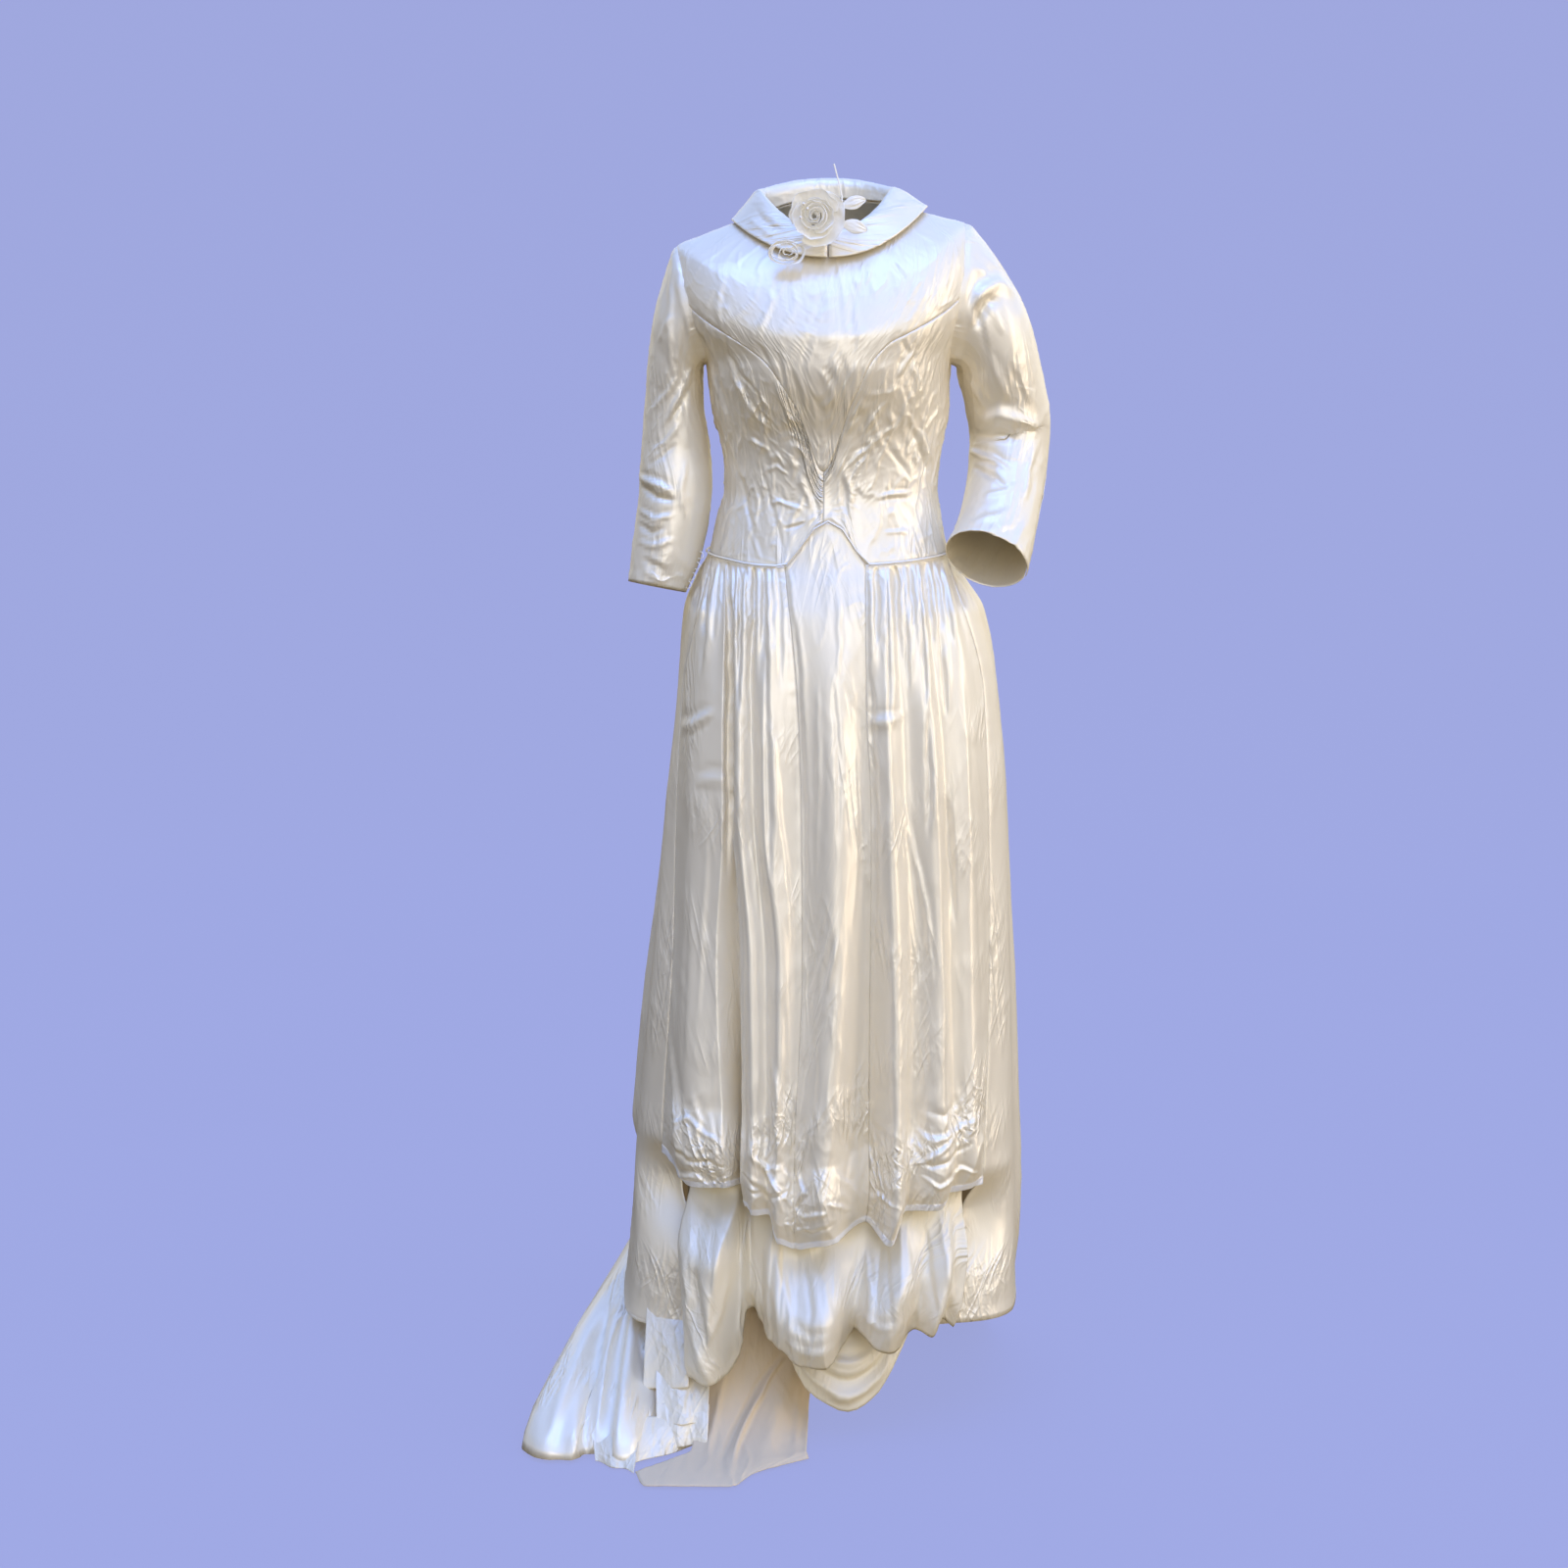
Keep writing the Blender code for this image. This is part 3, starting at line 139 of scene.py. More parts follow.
# Level rings of the body and skirt, by height
# z, left, right, front, back
LEVEL_RINGS = (
    (-0.19, 0.153, 0.154, 0.133, 0.111),
    (-0.215, 0.15, 0.152, 0.128, 0.107),
    (-0.25, 0.146, 0.151, 0.115, 0.099),
    (-0.28, 0.137, 0.146, 0.106, 0.092),
    (-0.32, 0.131, 0.14, 0.101, 0.087),
    (-0.345, 0.131, 0.138, 0.1, 0.087),
    (-0.385, 0.141, 0.143, 0.105, 0.092),
    (-0.43, 0.152, 0.154, 0.114, 0.103),
    (-0.46, 0.166, 0.172, 0.124, 0.116),
    (-0.5, 0.181, 0.197, 0.136, 0.132),
    (-0.6, 0.191, 0.216, 0.152, 0.155),
    (-0.725, 0.204, 0.227, 0.163, 0.172),
    (-0.854, 0.214, 0.23, 0.171, 0.188),
    (-0.984, 0.229, 0.235, 0.178, 0.205),
    (-1.116, 0.243, 0.24, 0.186, 0.225),
    (-1.25, 0.255, 0.245, 0.195, 0.25),
    (-1.344, 0.266, 0.246, 0.203, 0.275),
    (-1.424, 0.277, 0.248, 0.21, 0.3),
    (-1.54, 0.295, 0.25, 0.222, 0.34),
)

RINGS = [(-z, *halves, z, z, z, z) for z, *halves in LEVEL_RINGS]
RINGS = np.array(list(SHOULDER_RINGS) + RINGS)


def ring(angle, sizes, out=0.0):
    """A point of a rounded ring. sizes are its four half widths and its four heights."""
    left, right, front, back, z_left, z_right, z_front, z_back = sizes
    s, c = np.sin(angle), np.cos(angle)
    wide = np.where(s < 0, left, right)
    deep = np.where(c < 0, back, front)
    x = wide * np.sign(s) * np.abs(s) ** (2 / CORNER)
    y = -deep * np.sign(c) * np.abs(c) ** (2 / CORNER)
    nx = np.sign(s) * np.abs(s) ** (2 - 2 / CORNER) / wide
    ny = -np.sign(c) * np.abs(c) ** (2 - 2 / CORNER) / deep
    size = np.hypot(nx, ny)
    z_side = np.where(s < 0, z_left, z_right)
    z_middle = np.where(c < 0, z_back, z_front)
    z = z_side + (z_middle - z_side) * c**2
    return np.stack([x + out * nx / size, y + out * ny / size, z], axis=-1)


def body(angle, level, out=0.0):
    """A point on the form that the whole gown follows."""
    sizes = [curve(RINGS[:, 0], RINGS[:, k], level) for k in range(1, 9)]
    return ring(angle, sizes, out)


def angle_at(x, level):
    """The ring angle whose point has this x on the front half."""
    left = curve(RINGS[:, 0], RINGS[:, 1], level)
    right = curve(RINGS[:, 0], RINGS[:, 2], level)
    half = np.where(x < 0, left, right)
    share = np.clip(np.abs(x) / half, 0, 0.9999)
    return np.sign(x) * np.arcsin(share ** (CORNER / 2))


print(f"rings: {len(RINGS)}, from the neck down to {FLOOR} m")

# %% [markdown]
# ## Noise and creases
#
# Satin that has been stored and worn shows two kinds of crease. Long ones come from how the cloth
# is pulled at the bust, the waist and the elbow. They are placed one by one, as ridges and troughs
# that fade at both ends. The small crumple between them could be painted, but noise is quicker and
# never repeats. Its zero lines are pinched into ridges, as folds in thin cloth are sharp.

# %% Noise that pinches
def noise(x, y, seed):
    """Smooth gradient noise between about -1 and 1."""
    cell_x, cell_y = np.floor(x), np.floor(y)
    part_x, part_y = x - cell_x, y - cell_y
    fade_x = part_x**3 * (part_x * (part_x * 6 - 15) + 10)
    fade_y = part_y**3 * (part_y * (part_y * 6 - 15) + 10)

    def corner(step_x, step_y):
        mixed = (cell_x + step_x) * 127.1 + (cell_y + step_y) * 311.7 + seed * 74.7
        mixed = np.sin(mixed) * 43758.5453
        turn = 2 * math.pi * (mixed - np.floor(mixed))
        return np.cos(turn) * (part_x - step_x) + np.sin(turn) * (part_y - step_y)

    low = corner(0, 0) * (1 - fade_x) + corner(1, 0) * fade_x
    high = corner(0, 1) * (1 - fade_x) + corner(1, 1) * fade_x
    return 1.6 * (low * (1 - fade_y) + high * fade_y)


def pinched(x, y, seed):
    """Sharp ridges where the noise crosses zero, 0 between them and 1 on them."""
    warp_x = x + 0.35 * noise(x * 1.7, y * 1.7, seed + 11)
    warp_y = y + 0.35 * noise(x * 1.7, y * 1.7, seed + 23)
    return np.clip(1 - np.abs(noise(warp_x, warp_y, seed)) * 3.2, 0, 1) ** 2


def turned(x, y, degrees, stretch):
    """Places turned by an angle and squeezed along it, so that the noise runs that way."""
    turn = math.radians(degrees)
    along = x * math.cos(turn) + y * math.sin(turn)
    across = -x * math.sin(turn) + y * math.cos(turn)
    return along / stretch, across


def crumple(x, y, size, degrees, stretch, seed):
    """Two sizes of pinched creases; size is the usual distance between the larger ones."""
    along, across = turned(x / size, y / size, degrees, stretch)
    large = pinched(along, across, seed) + 0.5 * noise(along * 0.8, across * 0.8, seed + 3)
    along, across = turned(x / size, y / size, degrees + 35, stretch)
    small = pinched(along * 2.3, across * 2.3, seed + 5)
    return large + 0.4 * small - 0.35


print("noise at one place:", float(noise(np.array([0.3]), np.array([0.7]), 1)[0]))

# %% [markdown]
# One crease is a line of points on the front of the cloth. Beside a ridge the cloth dips a little,
# because it has to come from somewhere. Sculpting by brush would give the same, but a table can be
# read, corrected and scaled.

# %% One crease, and a table of them
WOBBLE = 0.0016


def crease(x, z, width, height, points):
    """One ridge, or a trough if its height is negative, along a line of points. All in metres."""
    points = np.reshape(points, (-1, 2)) / 1000
    steps = np.diff(points, axis=0)
    lengths = np.hypot(steps[:, 0], steps[:, 1])
    begins = np.append(0, np.cumsum(lengths))
    nearest = np.full(len(x), 1e9)
    aside = np.zeros(len(x))
    place = np.zeros(len(x))
    for start, step, length, begin in zip(points, steps, lengths, begins):
        to_x, to_z = x - start[0], z - start[1]
        along = np.clip((to_x * step[0] + to_z * step[1]) / length, 0, length)
        off_x = to_x - step[0] / length * along
        off_z = to_z - step[1] / length * along
        far = np.hypot(off_x, off_z)
        closer = far < nearest
        side = np.sign(step[0] * off_z - step[1] * off_x)
        nearest = np.where(closer, far, nearest)
        aside = np.where(closer, side * far, aside)
        place = np.where(closer, (begin + along) / begins[-1], place)
    ends = np.clip(4 * place * (1 - place), 0, 1) ** 0.6
    wide = width * (0.45 + 0.55 * ends)
    main = hump(aside, wide)
    beside = hump(aside - 1.9 * wide, 1.3 * wide)
    return height * ends * (main - 0.4 * beside)


def creased(x, z, table, seed=1):
    """All creases of a table. The places wander a little, so that no line is drawn with a ruler."""
    near_x = x + WOBBLE * noise(x * 45, z * 45, seed)
    near_z = z + WOBBLE * noise(x * 45, z * 45, seed + 7)
    total = np.zeros(len(x))
    for width, height, *points in table:
        total = total + crease(near_x, near_z, width / 1000, height / 1000, points)
    return total


print(f"creases wander by up to {1000 * WOBBLE} mm")

# %% [markdown]
# ## The maker of panels
#
# Every panel is cut from a flat grid. Its vertices are moved onto the form, then out along the
# form's own normal by the relief, which is where all creases live. The map for the weave is
# measured along the cloth in metres, so the threads keep their size. A thin Solidify gives the cut
# edges their thickness, inwards. Cloth simulation could drape the skirt, but the folds of this gown
# are known one by one, and a simulation would put them elsewhere.

# %% Distances along the cloth
EVERY_EDGE = ("left", "right", "top", "bottom")
SEAM_EDGES = ("left", "right", "top")


def outward(form, u, v, flip):
    """The form's unit normal, from small steps along and across it."""
    du, dv = 1e-3 * (u.max() - u.min()), 1e-3
    along = form(u + du, v) - form(u - du, v)
    down = form(u, v + dv) - form(u, v - dv)
    return unit(np.cross(down, along) * (-1 if flip else 1))


def arc_lengths(grid):
    """How far each point lies along its row and down its column, in metres of cloth."""
    across = np.linalg.norm(np.diff(grid, axis=0), axis=-1)
    down = np.linalg.norm(np.diff(grid, axis=1), axis=-1)
    across = np.concatenate([np.zeros((1, grid.shape[1])), np.cumsum(across, axis=0)])
    down = np.concatenate([np.zeros((grid.shape[0], 1)), np.cumsum(down, axis=1)], axis=1)
    return across - across[len(across) // 2], down


def edge_distance(across, down, edges):
    """Distance to the nearest of the named edges: left, right, top and bottom of the grid."""
    options = {
        "left": across - across[:1],
        "right": across[-1:] - across,
        "top": down,
        "bottom": down[:, -1:] - down,
    }
    found = [options[edge] for edge in edges]
    return np.min(found, axis=0) if found else np.full(across.shape, 9.0)


def to_hem(down):
    """How far each point of a panel is from its lower edge."""
    return (down[:, -1:] - down).ravel()


def turned_edge(distance, width, height, soft=0.0015):
    """The step where an edge is turned up and holds two more layers."""
    return height * smooth((width - distance) / soft)


print("named edges:", EVERY_EDGE)

# %% [markdown]
# The mesh of a panel carries a map called cloth and two numbers at each vertex: how crushed the
# satin is there, and whether it lies in the painted highlight at a hem. The material reads them.

# %% A sheet of mesh
def placed(name, data):
    made = bpy.data.objects.new(name, data)
    bpy.context.scene.collection.objects.link(made)
    return made


def finished_mesh(name, build):
    mesh = bpy.data.meshes.new(name)
    build.to_mesh(mesh)
    build.free()
    mesh.shade_smooth()
    return mesh


def sheet_mesh(name, points, shape, across, down, numbers, flip, loop):
    """A grid whose vertices are moved to the points, which run down each column in turn."""
    columns, rows = shape
    build = bmesh.new()
    bmesh.ops.create_grid(build, x_segments=columns - 1, y_segments=rows - 1, size=0.5)
    flat = np.array([vert.co[:] for vert in build.verts])
    column_of = np.rint((flat[:, 0] + 0.5) * (columns - 1)).astype(int)
    row_of = rows - 1 - np.rint((flat[:, 1] + 0.5) * (rows - 1)).astype(int)
    index = column_of * rows + row_of
    weave = build.loops.layers.uv.new("cloth")
    layers = [build.verts.layers.float.new(key) for key in numbers]
    for square in build.faces:
        for corner in square.loops:
            spot = index[corner.vert.index]
            corner[weave].uv = (across[spot], -down[spot])
    for vert in build.verts:
        spot = index[vert.index]
        vert.co = points[spot]
        for layer, values in zip(layers, numbers.values()):
            vert[layer] = float(values[spot])
    if flip:
        bmesh.ops.reverse_faces(build, faces=build.faces[:])
    if loop:
        bmesh.ops.remove_doubles(build, verts=build.verts[:], dist=1e-6)
    return finished_mesh(name, build)


print("every panel starts as one flat grid")

# %% [markdown]
# A panel takes the place of one node of the frame. Small pleats and ribbons that the frame leaves
# out have none. The flat size and the count of triangles of each sheet are kept for the last
# chapters.

# %% A panel of the gown
SATIN_THICK = 0.0008
USUAL_CRUSH = 0.45
pieces = {}
counts = {}
flats = {}


def even(places):
    """Places over a panel: the given ones, or as many even ones from 0 to 1 as a number says."""
    return np.linspace(0, 1, places) if isinstance(places, int) else np.asarray(places, float)


def panel(
    node, form, us, vs, relief, normal=None, flip=False, loop=False,
    thick=SATIN_THICK, crush=None, painted_highlight_band=0.0, extra=False,
):
    """A panel of cloth in place of the frame's node, or an extra one that the frame hasn't."""
    name = node if extra else f"{node}_cloth"
    us, vs = even(us), even(vs)
    shape = (len(us), len(vs))
    u, v = (places.ravel() for places in np.meshgrid(us, vs, indexing="ij"))
    face = normal(u, v) if normal else outward(form, u, v, flip)
    base = form(u, v)
    across, down = arc_lengths(base.reshape(*shape, 3))
    points = base + face * relief(base, face, u, v, across, down)[:, None]
    points[:, 2] = np.maximum(points[:, 2], FLOOR + thick)
    across, down = arc_lengths(points.reshape(*shape, 3))
    numbers = {
        "crush": crush(base) if crush else np.full(len(u), USUAL_CRUSH),
        # Painted highlight: vertices within this width of the hem, which the material paints white
        "painted_hem_highlight": smooth((painted_highlight_band - to_hem(down)) / 0.002) if painted_highlight_band else np.zeros(len(u)),
    }
    mesh = sheet_mesh(name, points, shape, across.ravel(), down.ravel(), numbers, flip, loop)
    made = placed(name, mesh)
    thickness = made.modifiers.new("cloth thickness", "SOLIDIFY")
    thickness.thickness = thick
    thickness.offset = -1
    thickness.use_even_offset = False
    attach(made, "root")
    if not extra:
        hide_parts(node)
    pieces[name] = made
    wide, long = (across[-1] - across[0]).max(), down[:, -1].max()
    flats[name] = (wide, long)
    counts[name] = 4 * (len(us) - 1) * (len(vs) - 1)
    print(f"{name}: {wide:.3f} m wide, {long:.3f} m long, {counts[name]} triangles")

# %% [markdown]
# How crushed the satin is differs from place to place: most under the bust and above the hem, least
# on the yoke. Each panel carries that as a number at every vertex. A painted mask would do the
# same, but a rule by height fits any grid.

# %% Where the satin is crushed
def torso_crush(base):
    z = base[:, 2]
    under_bust = hump(z + 0.275, 0.055)
    return 0.28 + 0.72 * under_bust + 0.30 * smooth((-0.30 - z) / 0.05)


def yoke_crush(base):
    return 0.6 * torso_crush(base)


def skirt_crush(base):
    x, z = base[:, 0], base[:, 2]
    near_hem = smooth((-1.00 - z) / 0.15)
    near_waist = hump(z + 0.56, 0.10)
    return 0.30 + 0.62 * near_hem + 0.10 * near_waist + 0.18 * noise(x * 9, z * 4, 77)


def train_crush(base):
    return 0.42 + 0.20 * smooth((-1.15 - base[:, 2]) / 0.2)


print("crush at the train's hem:", train_crush(np.array([[0, 0, FLOOR]])))

# %% [markdown]
# ## Bodice
#
# The bodice panels lie on the rings. Each one's place is a ring angle and a level, which the seams
# limit: the V of the yoke, the armholes, and the waist seam, which is low at the sides and rises to
# a notch in front. On the real gown these are the lines that are drawn first on the cloth.

# %% Seams of the bodice
# Armhole, as an ellipse in ring angle and level round the side
ARMHOLE_LEVEL = 0.1375
ARMHOLE_HALF_LEVEL = 0.0525
ARMHOLE_HALF_ANGLE = 28.0
ARMHOLE_FRONT = 90.0 - ARMHOLE_HALF_ANGLE
BACK_LENGTH = 0.421

# Lower edge of the yoke, a V whose point lies just beside the centre
# angle, level
YOKE_SEAM = (
    (-62.0, 0.1375), (-39.0, 0.16), (-14.0, 0.24), (-2.0, 0.32),
    (9.5, 0.235), (26.0, 0.158), (62.0, 0.1375),
)
YOKE_POINT = -2.0

# Waist seam: low at the sides, lowest beside the notch, which rises at the centre front
# angle, level
WAIST_SEAM = (
    (-180.0, 0.418), (-90.0, 0.424), (-57.0, 0.428), (-26.0, 0.434),
    (-18.5, 0.434), (-14.0, 0.422), (-10.0, 0.406), (-5.0, 0.388),
    (0.0, 0.38), (5.0, 0.388), (9.5, 0.406), (12.5, 0.421),
    (16.0, 0.432), (26.0, 0.431), (55.0, 0.427), (90.0, 0.423),
    (180.0, 0.418),
)


def waist_level(angle):
    return curve(column(WAIST_SEAM, 0), column(WAIST_SEAM, 1), np.degrees(angle))


def armhole_reach(angle):
    """Half the armhole's height at a ring angle, as a share of ARMHOLE_HALF_LEVEL."""
    aside = (90 - np.abs(np.degrees(angle))) / ARMHOLE_HALF_ANGLE
    return np.sqrt(np.clip(1 - aside**2, 0, 1))


print(f"the yoke's point is {1000 * max(column(YOKE_SEAM, 1)):.0f} mm under the neck")

# %% [markdown]
# A yoke could be cut out of the bodice by a Boolean, but then its grid would run across the seam.
# Here the rows of each grid are squeezed between two seams, so that its edge is the seam.

# %% Forms of the bodice
def yoke(u, v):
    """u runs over ring angles in degrees and v from the neckline to the lower edge."""
    seam = curve(column(YOKE_SEAM, 0), column(YOKE_SEAM, 1), u)
    armhole = ARMHOLE_LEVEL - ARMHOLE_HALF_LEVEL * armhole_reach(np.radians(u))
    return np.radians(u), v * np.where(np.abs(u) < ARMHOLE_FRONT, seam, armhole)


def side_front(u, v):
    seam = curve(column(YOKE_SEAM, 0), column(YOKE_SEAM, 1), u)
    armhole = ARMHOLE_LEVEL + ARMHOLE_HALF_LEVEL * armhole_reach(np.radians(u))
    top = np.where(np.abs(u) < ARMHOLE_FRONT, seam, armhole)
    return np.radians(u), top + (waist_level(np.radians(u)) - top) * v


def bodice_back(side):
    def place(u, v):
        aside = (v * BACK_LENGTH - ARMHOLE_LEVEL) / ARMHOLE_HALF_LEVEL
        edge = 90 + ARMHOLE_HALF_ANGLE * np.sqrt(np.clip(1 - aside**2, 0, 1))
        angle = side * np.radians(edge + (180 - edge) * u)
        return angle, v * BACK_LENGTH + (waist_level(angle) - BACK_LENGTH) * v**6

    return place


def on_body(place):
    """A panel's form and its outward normal, from its places (ring angle and level) on the body."""

    def form(u, v):
        return body(*place(u, v))

    def normal(u, v):
        angle, level = place(u, v)
        along = body(angle + 1e-3, level) - body(angle - 1e-3, level)
        down = body(angle, level + 1e-4) - body(angle, level - 1e-4)
        return unit(np.cross(down, along))

    return form, normal


form, normal = on_body(yoke)
print("the yoke's point:", form(np.array([YOKE_POINT]), np.array([1.0])).round(3))

# %% [markdown]
# The bodice is smooth over the bust and crumpled under it, where the satin has been lying in folds.
# Seams pull the cloth in by less than a millimetre and pucker it a little. Both are relief: lifts
# of a few millimetres at most, so the panel keeps its form.

# %% Relief of the bodice
SEAM_PULL = 0.0009


def seam_relief(distance, along, pucker=0.0004):
    """The dip at a seam, with puckers that run away from it and differ in length."""
    dip = -SEAM_PULL * hump(distance, 0.0022)
    reach = 0.010 + 0.008 * noise(along * 90, along * 0 + 0.5, 4)
    ripple = noise(along * 160, distance * 20, 9) * hump(distance, reach)
    return dip + pucker * 2 * ripple * (1 - hump(distance, 0.0015))


def bodice_relief(edges):
    def relief(base, face, u, v, across, down):
        x, y, z = base.T
        arc = np.arctan2(x, -y) * 0.14
        front = smooth(-face[:, 1] * 2.2)
        under_bust = hump(z + 0.262, 0.040)
        waist = hump(z + 0.36, 0.06)
        upper = hump(z + 0.12, 0.07)
        fine = crumple(arc, z, 0.030, 82, 2.6, 3)
        lift = fine * (0.0005 + 0.0020 * under_bust + 0.0012 * waist + 0.0005 * upper)
        lift = lift + 0.0006 * noise(arc * 18, z * 9, 15)
        lift = lift + 0.0007 * pinched(arc * 40, z * 8, 21) * hump(z + 0.235, 0.035)
        lift = lift + 1.5 * creased(x, z, TORSO_CREASES) * front
        lift = lift + creased(x, z, BACK_CREASES, 5) * (1 - front)
        near = edge_distance(across, down, edges).ravel()
        rim = edge_distance(across, down, EVERY_EDGE).ravel()
        along = across.ravel() + down.ravel()
        return lift * (1 - hump(rim, 0.006)) + seam_relief(near, along)

    return relief


print(f"a seam pulls the cloth in by {1000 * SEAM_PULL} mm")

# %% [markdown]
# The creases follow the pull of the satin: down and inwards from the armholes, across above the
# notch, and short and crossing under the yoke's point.

# %% Creases of the bodice
# Creases of the front of the bodice, in mm. As in every such table, a row has the width and the
# height of one crease, then the places x, z along it.
TORSO_CREASES = (
    (2.6, 0.9, -123, -80, -132, -106, -132, -129, -129, -149),
    (2.8, 1.0, -62, -105, -74, -126, -81, -145, -84, -163),
    (2.4, 0.6, -107, -54, -110, -75),
    (2.4, 0.6, -49, -80, -57, -97, -61, -110),
    (2.2, 0.5, -41, -84, -44, -106),
    (2.2, 0.6, -15, -114, -21, -131, -25, -149),
    (2.4, -1.0, 30, -106, 29, -136, 32, -162, 33, -184),
    (2.4, 0.6, 50, -77, 46, -95),
    (2.4, -0.9, 77, -66, 93, -89),
    (2.0, -0.9, 68, -31, 68, -48),
    (2.4, 0.5, 4, -119, 0, -149, 4, -168),
    (2.4, -1.1, 85, -149, 92, -168, 100, -180),
    (2.8, 1.7, 105, -175, 95, -188, 85, -205),
    (2.6, 1.4, 104, -184, 108, -208, 108, -228),
    (2.6, 1.3, 98, -250, 104, -264),
    (2.6, 1.5, -156, -158, -143, -201, -127, -251, -118, -294, -115, -312),
    (2.4, -1.0, -153, -131, -152, -168, -140, -208),
    (2.4, 1.0, -142, -132, -139, -168, -130, -205, -123, -238),
    (2.6, -1.6, -127, -153, -122, -180, -107, -202, -86, -225),
    (2.8, 1.5, -124, -185, -113, -210, -97, -238, -81, -263),
    (2.8, -1.0, -118, -208, -106, -241, -97, -274, -90, -306),
    (2.8, -1.3, -81, -166, -73, -188, -66, -206),
    (2.6, -1.4, -61, -175, -56, -201, -51, -229),
    (3.2, -1.4, -43, -195, -36, -228, -29, -256),
    (2.2, -1.0, -19, -149, -27, -178, -32, -203),
    (2.8, 1.5, -10, -196, 4, -218, 11, -243),
    (2.6, -1.2, -4, -191, 9, -210),
    (2.6, 1.3, 4, -175, 17, -208, 24, -229),
    (2.6, -1.1, 11, -175, 20, -201, 26, -221),
    (2.4, 1.0, 34, -186, 36, -216),
    (2.4, -1.0, 41, -195, 42, -218),
    (2.8, 1.4, 50, -244, 60, -268, 67, -291),
    (2.6, 1.3, 71, -234, 57, -252, 44, -273),
    (3.2, -0.6, -6, -241, 1, -271, 4, -289),
    (2.6, -0.8, -8, -317, -5, -333, 2, -338),
    (2.8, -1.3, 13, -316, 19, -334, 22, -361, 28, -389),
    (2.8, 1.0, 17, -307, 25, -334, 29, -361),
    (2.8, 0.9, -37, -321, -23, -354, -15, -378),
    (3.2, -1.6, -113, -315, -105, -338, -100, -368, -90, -419),
    (3.0, 1.1, -105, -354, -96, -395, -82, -429),
    (3.0, -0.9, -84, -311, -70, -361, -60, -395, -53, -426),
    (3.4, -1.8, 101, -266, 114, -297, 125, -326),
    (3.2, 1.7, 113, -269, 121, -289, 129, -311),
    (2.4, 1.2, -97, -280, -82, -289, -73, -295),
    (2.4, 1.1, -84, -250, -73, -269),
    (2.6, 1.0, 37, -261, 47, -281, 58, -301),
    (2.6, 1.1, 24, -314, 37, -298, 55, -289),
    (2.4, 1.0, 64, -350, 84, -348, 106, -344),
    (2.4, -0.9, 61, -356, 88, -354, 104, -352),
    (2.4, 0.9, 70, -395, 88, -393, 98, -396),
    (2.4, 1.0, -66, -355, -54, -358, -30, -366),
    (2.4, -1.0, -54, -391, -40, -387, -27, -382),
    (2.4, 0.8, -63, -281, -47, -274, -30, -281),
    (2.6, 1.0, -23, -224, -15, -251, -16, -271),
    (2.6, 0.9, 37, -215, 50, -228, 70, -224),
    (2.6, -0.8, 17, -261, 34, -254, 44, -244),
    (2.6, 0.8, 87, -215, 94, -241, 91, -271),
    (3.0, -0.9, 71, -281, 87, -307, 104, -334),
    (2.6, 0.8, -50, -297, -40, -314, -47, -334),
    (2.6, 0.9, -77, -321, -63, -314, -50, -324),
)

# Creases of the back of the bodice, in mm
BACK_CREASES = (
    (3.0, 1.0, -113, -96, -116, -136, -106, -175),
    (3.0, -1.1, -56, -175, -50, -215, -53, -248),
    (3.0, 1.2, -23, -195, -10, -228, 17, -254),
    (3.0, 1.0, 37, -168, 34, -208, 44, -244),
    (3.2, -1.2, 77, -195, 67, -235, 74, -271),
    (3.0, 1.1, -77, -261, -57, -294, -64, -328),
    (3.0, -1.0, 17, -288, 10, -328, 20, -368),
    (3.2, 1.2, -104, -311, -91, -355, -71, -405),
    (3.2, -1.1, 104, -308, 91, -355, 81, -405),
    (2.8, 0.9, -40, -345, -10, -338, 17, -348),
    (2.8, 0.9, 37, -314, 64, -298, 84, -304),
    (2.8, -0.9, -10, -90, -13, -123, -6, -149),
)

print("creases of the bodice:", len(TORSO_CREASES), "in front,", len(BACK_CREASES), "behind")

# %% [markdown]
# Five panels make the bodice: the yoke, two side fronts that meet under its point, and two backs.
# The grid is finest on the fronts, where the creases are two to three millimetres wide.

# %% Panels of the bodice
form, normal = on_body(yoke)
across = np.linspace(-90, 90, 190)
panel("bodice_yoke", form, across, 130, bodice_relief(("bottom",)), normal, crush=yoke_crush)
form, normal = on_body(side_front)
for side, first, last, inner in (
    ("left", YOKE_POINT, 90, "right"),
    ("right", -90, YOKE_POINT, "left"),
):
    across = np.linspace(first, last, 96)
    relief = bodice_relief(("top", "bottom", inner))
    panel(f"bodice_side_front_{side}", form, across, 140, relief, normal, crush=torso_crush)
for turn, side in ((1, "left"), (-1, "right")):
    form, normal = on_body(bodice_back(turn))
    relief = bodice_relief(("left", "right", "bottom"))
    panel(f"bodice_back_{side}", form, 44, 80, relief, normal, turn < 0, crush=torso_crush)

# %% [markdown]
# ## Sleeves
#
# Each sleeve is a tube that is set into the armhole, gathered a little at the elbow, and turned
# under at the cuff. A tube could be swept along a curve. Here its rings come from the frame's own
# table, so the lean, the bend of the left sleeve and the cuffs agree with it.

